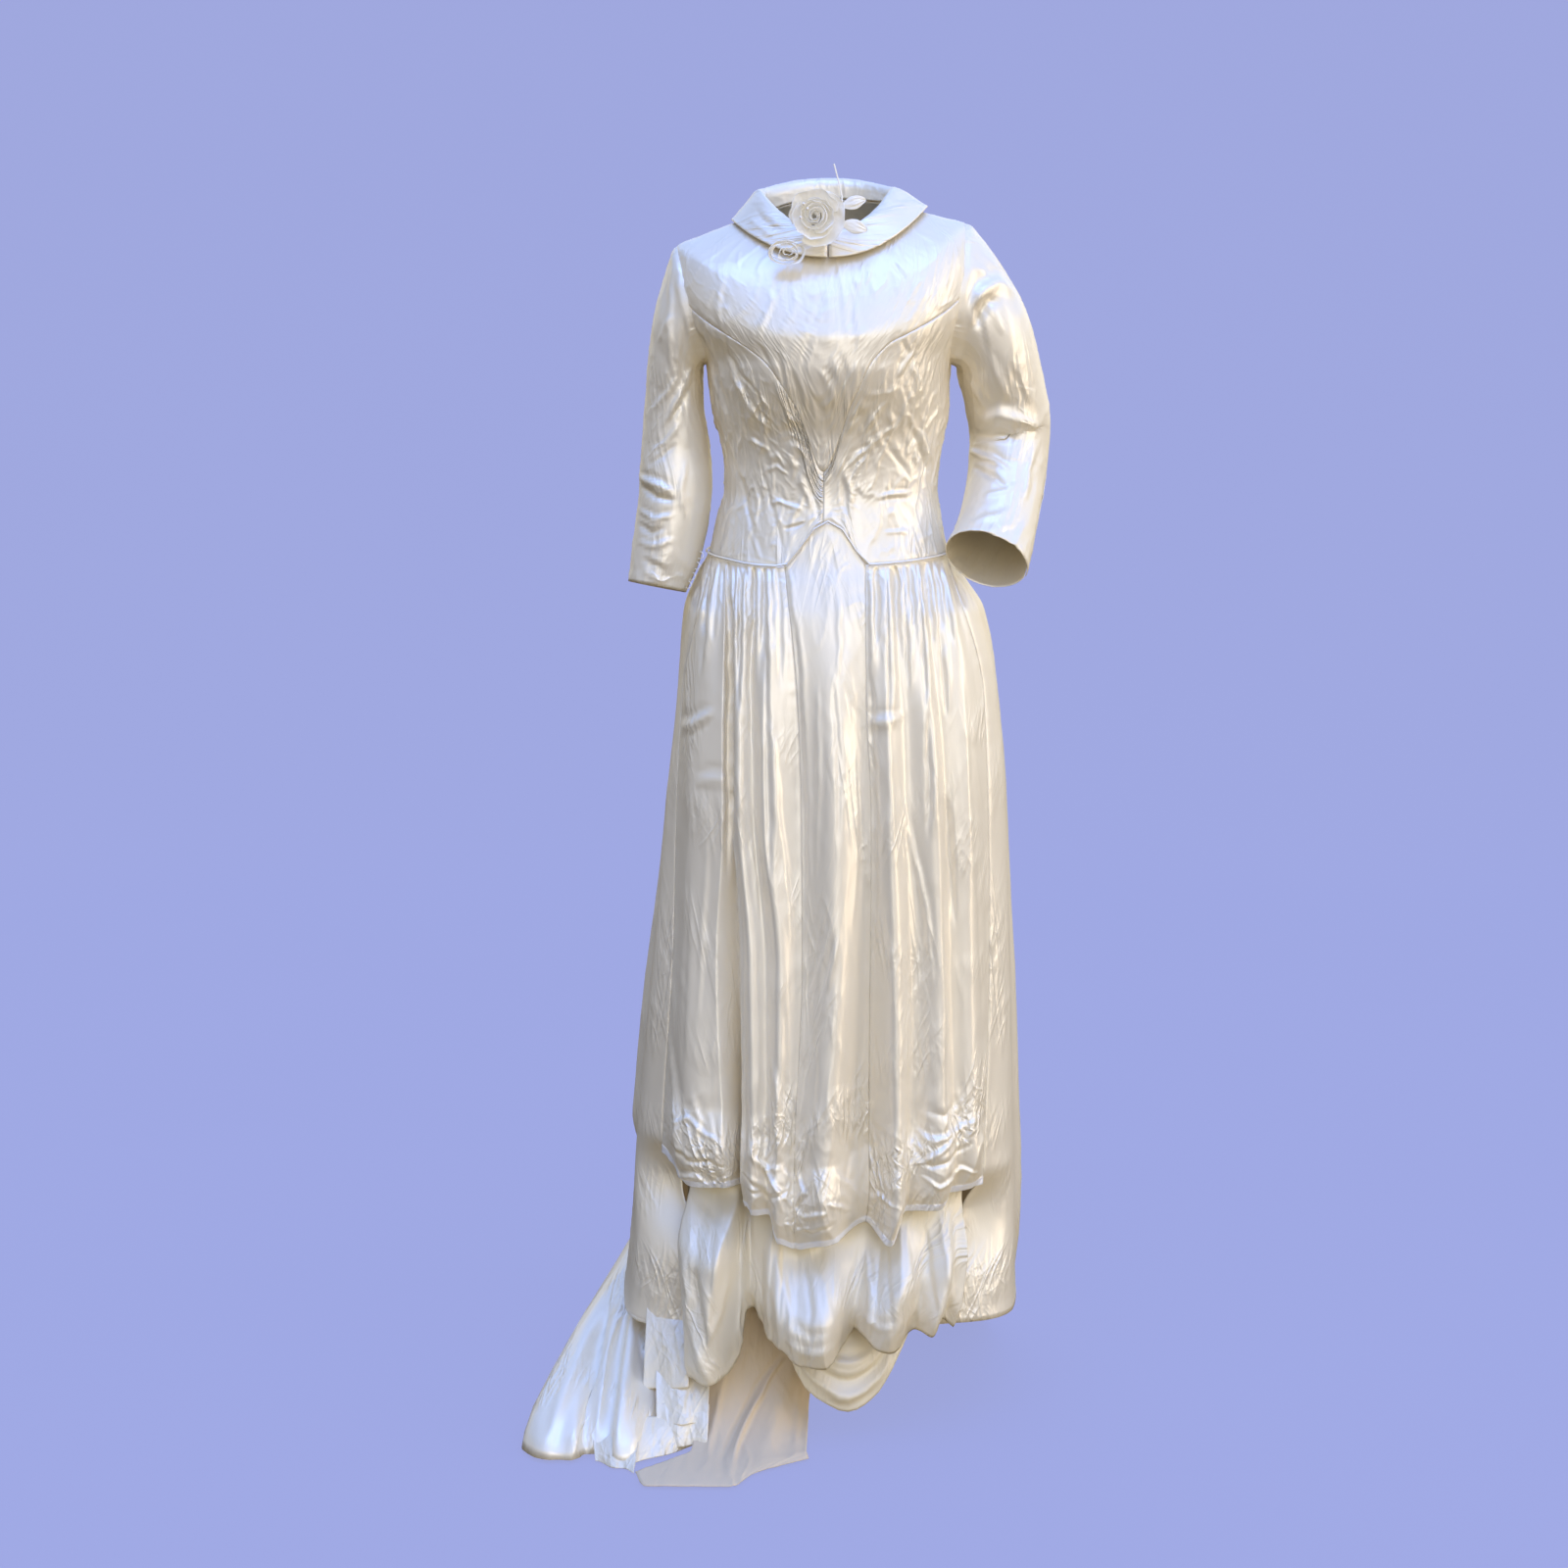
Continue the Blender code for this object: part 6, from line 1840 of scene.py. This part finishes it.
# %% Small creases of satin
# How far apart and how long creases are in mm, their turn, where they begin to show, how high
SATIN_CREASES = (
    ((20.0, 150.0), 7.0, 0.42, 1.0),
    ((16.0, 90.0), -22.0, 0.46, 0.8),
    ((14.0, 44.0), 36.0, 0.50, 0.7),
    ((9.0, 20.0), -48.0, 0.52, 0.25),
)
SHORT_CREASE = 50.0


def pinched_height(tree, flat, size_mm, degrees, patch, patch_mm=90.0):
    """Sharp ridges, from noise whose middle value is folded up. They run down the cloth, turned by
    some degrees, about size_mm apart and long, and come and go in patches."""
    size = (size_mm[0] / 1000, size_mm[1] / 1000, 1)
    settings = {"vector_type": "TEXTURE", "Scale": size, "Rotation": (0, 0, math.radians(degrees))}
    along = add(tree, "ShaderNodeMapping", settings, {"Vector": flat})
    settings = {"Scale": 1.0, "Detail": 1.5, "Roughness": 0.4, "Distortion": 0.6}
    wave = add(tree, "ShaderNodeTexNoise", settings, {"Vector": along.outputs["Vector"]})
    settings = {"operation": "SUBTRACT", 1: 0.5}
    middle = add(tree, "ShaderNodeMath", settings, {0: wave.outputs["Fac"]})
    folded = add(tree, "ShaderNodeMath", {"operation": "ABSOLUTE"}, {0: middle.outputs[0]})
    settings = {"operation": "MULTIPLY", 1: 7.0}
    raised = add(tree, "ShaderNodeMath", settings, {0: folded.outputs[0]})
    settings = {"operation": "SUBTRACT", 0: 1.0, "use_clamp": True}
    ridge = add(tree, "ShaderNodeMath", settings, {1: raised.outputs[0]})
    settings = {"Scale": 1000 / patch_mm, "Detail": 0.0, "Distortion": 0.3}
    spots = add(tree, "ShaderNodeTexNoise", settings, {"Vector": flat})
    settings = {1: patch, 2: patch + 0.18}
    mask = add(tree, "ShaderNodeMapRange", settings, {0: spots.outputs["Fac"]})
    links = {0: ridge.outputs[0], 1: mask.outputs[0]}
    return add(tree, "ShaderNodeMath", {"operation": "MULTIPLY"}, links).outputs[0]


def all_creases(tree, flat, amount):
    """Every size of crease together. The short ones go first where the cloth is calm."""
    total = None
    for size_mm, degrees, patch, share in SATIN_CREASES:
        ridge = pinched_height(tree, flat, size_mm, degrees, patch)
        part = add(tree, "ShaderNodeMath", {"operation": "MULTIPLY", 1: share}, {0: ridge})
        if size_mm[1] < SHORT_CREASE:
            links = {0: part.outputs[0], 1: amount}
            part = add(tree, "ShaderNodeMath", {"operation": "MULTIPLY"}, links)
        if total:
            links = {0: total, 1: part.outputs[0]}
            part = add(tree, "ShaderNodeMath", {"operation": "ADD"}, links)
        total = part.outputs[0]
    return add(tree, "ShaderNodeMath", {"operation": "MULTIPLY"}, {0: total, 1: amount}).outputs[0]


print("sizes of crease in the satin:", len(SATIN_CREASES))

# %% [markdown]
# All the cloths share one recipe: a colour with faint stains, painted white at a turned-up hem as a
# highlight, threads that run down the cloth, and in satin the creases. Threads of fine silk lie
# about a tenth of a millimetre apart. In the render they would be lost, so they are drawn about ten
# times as coarse, and nine times as long as they are apart.

# %% The recipe for cloth
THREAD_HEIGHT = 0.00010
THREAD_LENGTH = 1000 / 110


def cloth_material(name, light, shade, roughness, sheen, weave_mm, crumple_depth, metal, ior):
    mat = bpy.data.materials.new(name)
    mat.use_nodes = True
    tree = mat.node_tree
    tree.nodes.clear()
    flat = add(tree, "ShaderNodeUVMap", {"uv_map": "cloth"}).outputs["UV"]
    space = add(tree, "ShaderNodeTexCoord").outputs["Object"]
    stain = add(tree, "ShaderNodeTexNoise", {"Scale": 5.0, "Detail": 3.0}, {"Vector": space})
    settings = {"data_type": "RGBA", 6: linear(light), 7: linear(shade)}
    tone = add(tree, "ShaderNodeMix", settings, {0: stain.outputs["Fac"]})
    # Painted highlight: at a turned-up hem the colour is mixed to white, standing in for the light
    # it catches
    hem = add(tree, "ShaderNodeAttribute", {"attribute_name": "painted_hem_highlight"}).outputs["Fac"]
    settings = {"data_type": "RGBA", 7: linear("FFFFFF")}
    tone = add(tree, "ShaderNodeMix", settings, {0: hem, 6: tone.outputs[2]})
    settings = {"Scale": (1000 / weave_mm, 1000 / weave_mm / THREAD_LENGTH, 1.0)}
    threads = add(tree, "ShaderNodeMapping", settings, {"Vector": flat}).outputs["Vector"]
    grain = add(tree, "ShaderNodeTexNoise", {"Scale": 1.0, "Detail": 2.0}, {"Vector": threads})
    settings, links = {"Strength": 0.5, "Distance": THREAD_HEIGHT}, {"Height": grain.outputs["Fac"]}
    normal = add(tree, "ShaderNodeBump", settings, links).outputs["Normal"]
    if crumple_depth:
        amount = add(tree, "ShaderNodeAttribute", {"attribute_name": "crush"}).outputs["Fac"]
        settings = {"Strength": 1.0, "Distance": crumple_depth}
        links = {"Height": all_creases(tree, flat, amount), "Normal": normal}
        normal = add(tree, "ShaderNodeBump", settings, links).outputs["Normal"]
    settings = {"Metallic": metal, "Roughness": roughness, "IOR": ior}
    settings |= {"Sheen Weight": sheen, "Sheen Roughness": 0.4}
    links = {"Base Color": tone.outputs[2], "Normal": normal}
    shader = add(tree, "ShaderNodeBsdfPrincipled", settings, links)
    add(tree, "ShaderNodeOutputMaterial", None, {"Surface": shader.outputs["BSDF"]})
    return mat


print(f"threads stand {1000 * THREAD_HEIGHT} mm proud")

# %% [markdown]
# Silk has an IOR of about 1.5, but satin's long threads mirror far more than a rough surface of
# that IOR can. Each satin started there and was raised until its lights matched. The light colour
# and the darker one differ little: what looks like shade on satin is mostly reflection.

# %% Finishes of the gown
# columns: light and shade, roughness, sheen, thread spacing in mm, depth of the creases in m,
# metallic, IOR
# Silk satin, woven with long floats and calendered: the eye sees a soft mirror with sharp folds
ivory_satin = cloth_material(
    "ivory silk satin", "F6ECD4", "ECE0C4", 0.36, 0.0, 1.3, 0.0018, 0.13, 2.7
)
# The same satin, handled less and lit from above: its lights are broader and duller. Its colour is
# painted a little darker, as the shade under the front's hem; the pleats by the floor share it
tier_satin_in_painted_shade = cloth_material(
    "tier silk satin in painted shade", "F1E6CE", "E2D8BC", 0.42, 0.0, 1.3, 0.0018, 0.08, 2.0
)
# Crepe, woven of twisted yarn: it has no lights at all, only a soft edge where it turns away
lining_cloth = cloth_material(
    "matte lining crepe", "E0CCAE", "D0BC98", 0.75, 0.15, 1.1, 0.0006, 0.0, 1.5
)
# Satin worn with its dull side out: the floats are inside, so its lights are wide and faint
swag_satin = cloth_material(
    "underskirt satin, dull side", "EEE3C8", "E2D6B8", 0.50, 0.0, 1.2, 0.0012, 0.05, 1.9
)
# Glass beads dipped in pearl essence: one small sharp light on a warm white
pearl_glass = cloth_material(
    "glass pearl", "FBF6EE", "F2EADC", 0.18, 0.0, 0.4, 0.0, 0.1, 1.8
)
# Silk organza, woven open and stiffened: pale, a little see-through, with a faint painted glow for
# the light in its folds
rose_organza = cloth_material(
    "silk organza", "FBF9F2", "F4F0E4", 0.5, 0.4, 0.9, 0.0, 0.0, 1.5
)
organza = rose_organza.node_tree.nodes["Principled BSDF"]
# Painted light: a faint emission makes the organza glow, standing in for light that shines through
# it
organza.inputs["Emission Color"].default_value = linear("FFF8EC")
organza.inputs["Emission Strength"].default_value = 0.08
organza.inputs["Alpha"].default_value = 0.90
# Twisted silk thread: too thin for lights of its own, so it reads as a white line
loop_thread = cloth_material(
    "loop thread", "F4F4F2", "EAEAE4", 0.6, 0.3, 0.6, 0.0, 0.0, 1.5
)
print("finishes:", len(bpy.data.materials))

# %% [markdown]
# Most panels are ivory satin. The tier and the pleats by the floor, the underskirt, the lining and
# the rose differ. The piping, the loops for the cuff's buttons and the wire of the rose already
# have their real shape in the frame. They only need a finish, so they keep their solids.

# %% Cloth on every piece
# The pleats by the floor and the tier take the satin that is painted darker as shade
CLOTH_OF = {name: tier_satin_in_painted_shade for name, *rest in PLEATS}
CLOTH_OF |= {"underskirt": swag_satin, "train_lining": lining_cloth, "lower_tier": tier_satin_in_painted_shade}
for name, piece in pieces.items():
    node = name.removesuffix("_cloth")
    chosen = rose_organza if node.startswith("rose") else CLOTH_OF.get(node, ivory_satin)
    piece.data.materials.append(chosen)
for pearl in pearls:
    pearl.data.materials.append(pearl_glass)
KEPT_SOLIDS = {"waist_piping": ivory_satin, "rose_stem": rose_organza}
KEPT_SOLIDS |= {f"button_loop_{number}": loop_thread for number in (1, 2, 3, 4)}
for node, finish in KEPT_SOLIDS.items():
    kept = bpy.data.objects[node]
    kept.data.materials.clear()
    kept.data.materials.append(finish)
print("panels:", len(pieces), "and solids that stay:", len(KEPT_SOLIDS))

# %% [markdown]
# ## Flat sizes of the cloth
#
# Each panel is one sheet. Its width is its longest row and its length its longest column, both
# measured along the cloth, so that gathers and creases count in full. A dressmaker would lay the
# panel flat and read the same two numbers.

# %% Flat size of each sheet
# Every size is raised to at least LEAST_CUT. No cut can be stated narrower than 10 mm. The bud's
# loop and its ribbons are 9 mm wide, so they are stated a little wider than they are.
LEAST_CUT = 0.011
for name, piece in pieces.items():
    wide, long = [max(size, LEAST_CUT) for size in flats[name]]

# %% [markdown]

# %% [markdown]
# ## Floor
#
# The gown stands on a plain sweep of pale blue paint that curves up behind it, so no corner shows.
# It glows by itself, because the light on the gown is far too uneven for such a plain ground.

# %% Sweep
STAGE_PAINT = "A3ABE0"
STAGE_GLOW = 0.90
STAGE_DROP = 0.0005


def stage_material():
    mat = bpy.data.materials.new("painted studio sweep")
    mat.use_nodes = True
    tree = mat.node_tree
    tree.nodes.clear()
    space = add(tree, "ShaderNodeTexCoord").outputs["Object"]
    mottle = add(tree, "ShaderNodeTexNoise", {"Scale": 1.5, "Detail": 2.0}, {"Vector": space})
    settings = {"data_type": "RGBA", 6: linear(STAGE_PAINT), 7: linear("A2AADF")}
    tone = add(tree, "ShaderNodeMix", settings, {0: mottle.outputs["Fac"]})
    glow = add(tree, "ShaderNodeEmission", {"Strength": 1.0}, {"Color": tone.outputs[2]})
    paint = add(tree, "ShaderNodeBsdfDiffuse", None, {"Color": tone.outputs[2]})
    links = {1: paint.outputs["BSDF"], 2: glow.outputs["Emission"]}
    both = add(tree, "ShaderNodeMixShader", {0: STAGE_GLOW}, links)
    add(tree, "ShaderNodeOutputMaterial", None, {"Surface": both.outputs["Shader"]})
    return mat


build = bmesh.new()
bmesh.ops.create_grid(build, x_segments=2, y_segments=40, size=1.0)
low = FLOOR - STAGE_DROP
for vert in build.verts:
    along = (vert.co.y + 1) / 2
    if along < 0.5:
        vert.co = (vert.co.x * 7, -5 + along * 2 * 8.0, low)
    else:
        turn = (along - 0.5) * 2
        vert.co = (vert.co.x * 7, 3.0 + 1.6 * math.sin(turn * math.pi / 2), low + 7 * turn**2)
bmesh.ops.recalc_face_normals(build, faces=build.faces[:])
sweep = placed("studio_sweep", finished_mesh("studio_sweep", build))
sweep.data.materials.append(stage_material())
sweep.visible_diffuse = False
sweep.visible_glossy = False
sweep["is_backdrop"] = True
print("faces of the sweep:", len(sweep.data.polygons))

# %% [markdown]
# ## Light
#
# Satin shows the room more than its own colour, so the light is a room: a cool window high up,
# which only the yoke and the train look into, a warm wall in front, and a narrow one at the side.

# %% Windows and walls that shine
LIGHTS = (
    ("sky window", 4.4, 1.6, (-0.2, -1.8, 3.2), (0.0, 0.0, -0.1), 86, "7CA6FF"),
    ("front wall", 1.6, 2.4, (0.9, -4.2, 0.2), (0.0, 0.0, -0.9), 24, "FFF6E6"),
    ("warm side", 0.8, 2.4, (2.9, -1.0, -0.4), (0.0, 0.0, -0.8), 22, "FFE9CC"),
)

for name, wide, tall, place, target, power, colour in LIGHTS:
    lamp = bpy.data.lights.new(name, "AREA")
    lamp.shape = "RECTANGLE"
    lamp.size, lamp.size_y = wide, tall
    lamp.energy = power
    lamp.color = linear(colour)[:3]
    holder = placed(name, lamp)
    holder.location = place
    towards = Vector(target) - Vector(place)
    holder.rotation_euler = towards.to_track_quat("-Z", "Y").to_euler()
print("lights:", [row[0] for row in LIGHTS])

# %% [markdown]
# The rest of the room is a world of soft bands: a dark floor that gives the shadow under the bust,
# pale walls, a cool ceiling. It is darker on the gown's right and behind, which the satin of the
# train shows, and its walls are uneven, which draws light and dark lines down the folds. Beyond the
# sweep the room itself isn't seen, only more of the sweep's paint.

# %% The room
# share of the way up, colour, from the dark floor to the ceiling
SKY_BANDS = (
    (0.0, "6E634E"), (0.15, "54483A"), (0.32, "332A20"), (0.42, "6C624C"),
    (0.5, "D6CAAE"), (0.57, "F0E6CC"), (0.64, "E4E4E2"), (0.7, "BCD0FF"),
    (1.0, "90AEF4"),
)
# share of the way from the gown's right to its left, brightness
WALLS = (
    (0.0, 0.34), (0.16, 0.4), (0.24, 0.85), (0.36, 0.62),
    (0.5, 1.0), (0.64, 0.72), (0.78, 1.15), (0.9, 0.75),
    (1.0, 0.9),
)
ROOM_POWER = 1.8

world = bpy.data.worlds.new("studio air")
bpy.context.scene.world = world
world.use_nodes = True
sky = world.node_tree
around = add(sky, "ShaderNodeTexCoord")
parts = add(sky, "ShaderNodeSeparateXYZ", None, {0: around.outputs["Generated"]})
bands = [(place, linear(colour)) for place, colour in SKY_BANDS]
walls = [(place, (shade, shade, shade, 1)) for place, shade in WALLS]
ramps = []
for axis, table in (("Z", bands), ("X", walls)):
    share = add(sky, "ShaderNodeMapRange", {1: -1.0, 2: 1.0}, {0: parts.outputs[axis]})
    ramp = add(sky, "ShaderNodeValToRGB", None, {0: share.outputs[0]})
    while len(ramp.color_ramp.elements) < len(table):
        ramp.color_ramp.elements.new(0.5)
    for stop, (place, colour) in zip(ramp.color_ramp.elements, table):
        stop.position = place
        stop.color = colour
    ramps.append(ramp.outputs["Color"])
settings = {"operation": "MULTIPLY", 1: ROOM_POWER}
power = add(sky, "ShaderNodeMath", settings, {0: ramps[1]})
backing = sky.nodes["Background"]
sky.links.new(power.outputs[0], backing.inputs["Strength"])
sky.links.new(ramps[0], backing.inputs["Color"])
plain = add(sky, "ShaderNodeBackground", {"Color": linear(STAGE_PAINT), "Strength": 1.0})
ray = add(sky, "ShaderNodeLightPath").outputs["Is Camera Ray"]
links = {0: ray, 1: backing.outputs[0], 2: plain.outputs[0]}
seen = add(sky, "ShaderNodeMixShader", None, links)
sky.links.new(seen.outputs[0], sky.nodes["World Output"].inputs["Surface"])
print("bands of the room:", len(SKY_BANDS), "and walls:", len(WALLS))

# %% [markdown]
# ## Camera
#
# The camera stands a little above the waist and looks down by ten degrees. The picture is shifted
# instead of the camera turned, because a turn would lean the gown's upright lines.

# %% Camera
CAMERA_PLACE = (0.0, -3.474, -0.12)
CAMERA_DOWN = 9.881
PHOTO_WIDTH = 1600
PHOTO_SHIFT = -45

view = bpy.data.cameras.new("camera")
view.lens = 63.0
view.sensor_width = 36.0
view.shift_x = PHOTO_SHIFT / PHOTO_WIDTH
holder = placed("camera", view)
holder.location = CAMERA_PLACE
holder.rotation_euler = (math.radians(90 - CAMERA_DOWN), 0, 0)
bpy.context.scene.camera = holder
bpy.context.scene.view_settings.view_transform = "Standard"
print("the camera looks down by", CAMERA_DOWN, "degrees")

# %% [markdown]
# ## Size of the finished gown
#
# Cloth may stand proud of the frame by a few millimetres. The box at the start is the frame's, and
# the one at the end is the dressed gown's.

# %% Sizes
bounds_at_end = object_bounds()
print("at the start:", [round(value, 4) for corner in bounds_at_start for value in corner])
print("at the end:", [round(value, 4) for corner in bounds_at_end for value in corner])
print("triangles added:", sum(counts.values()))
start, end = [list(c) for c in bounds_at_start], [list(c) for c in bounds_at_end]
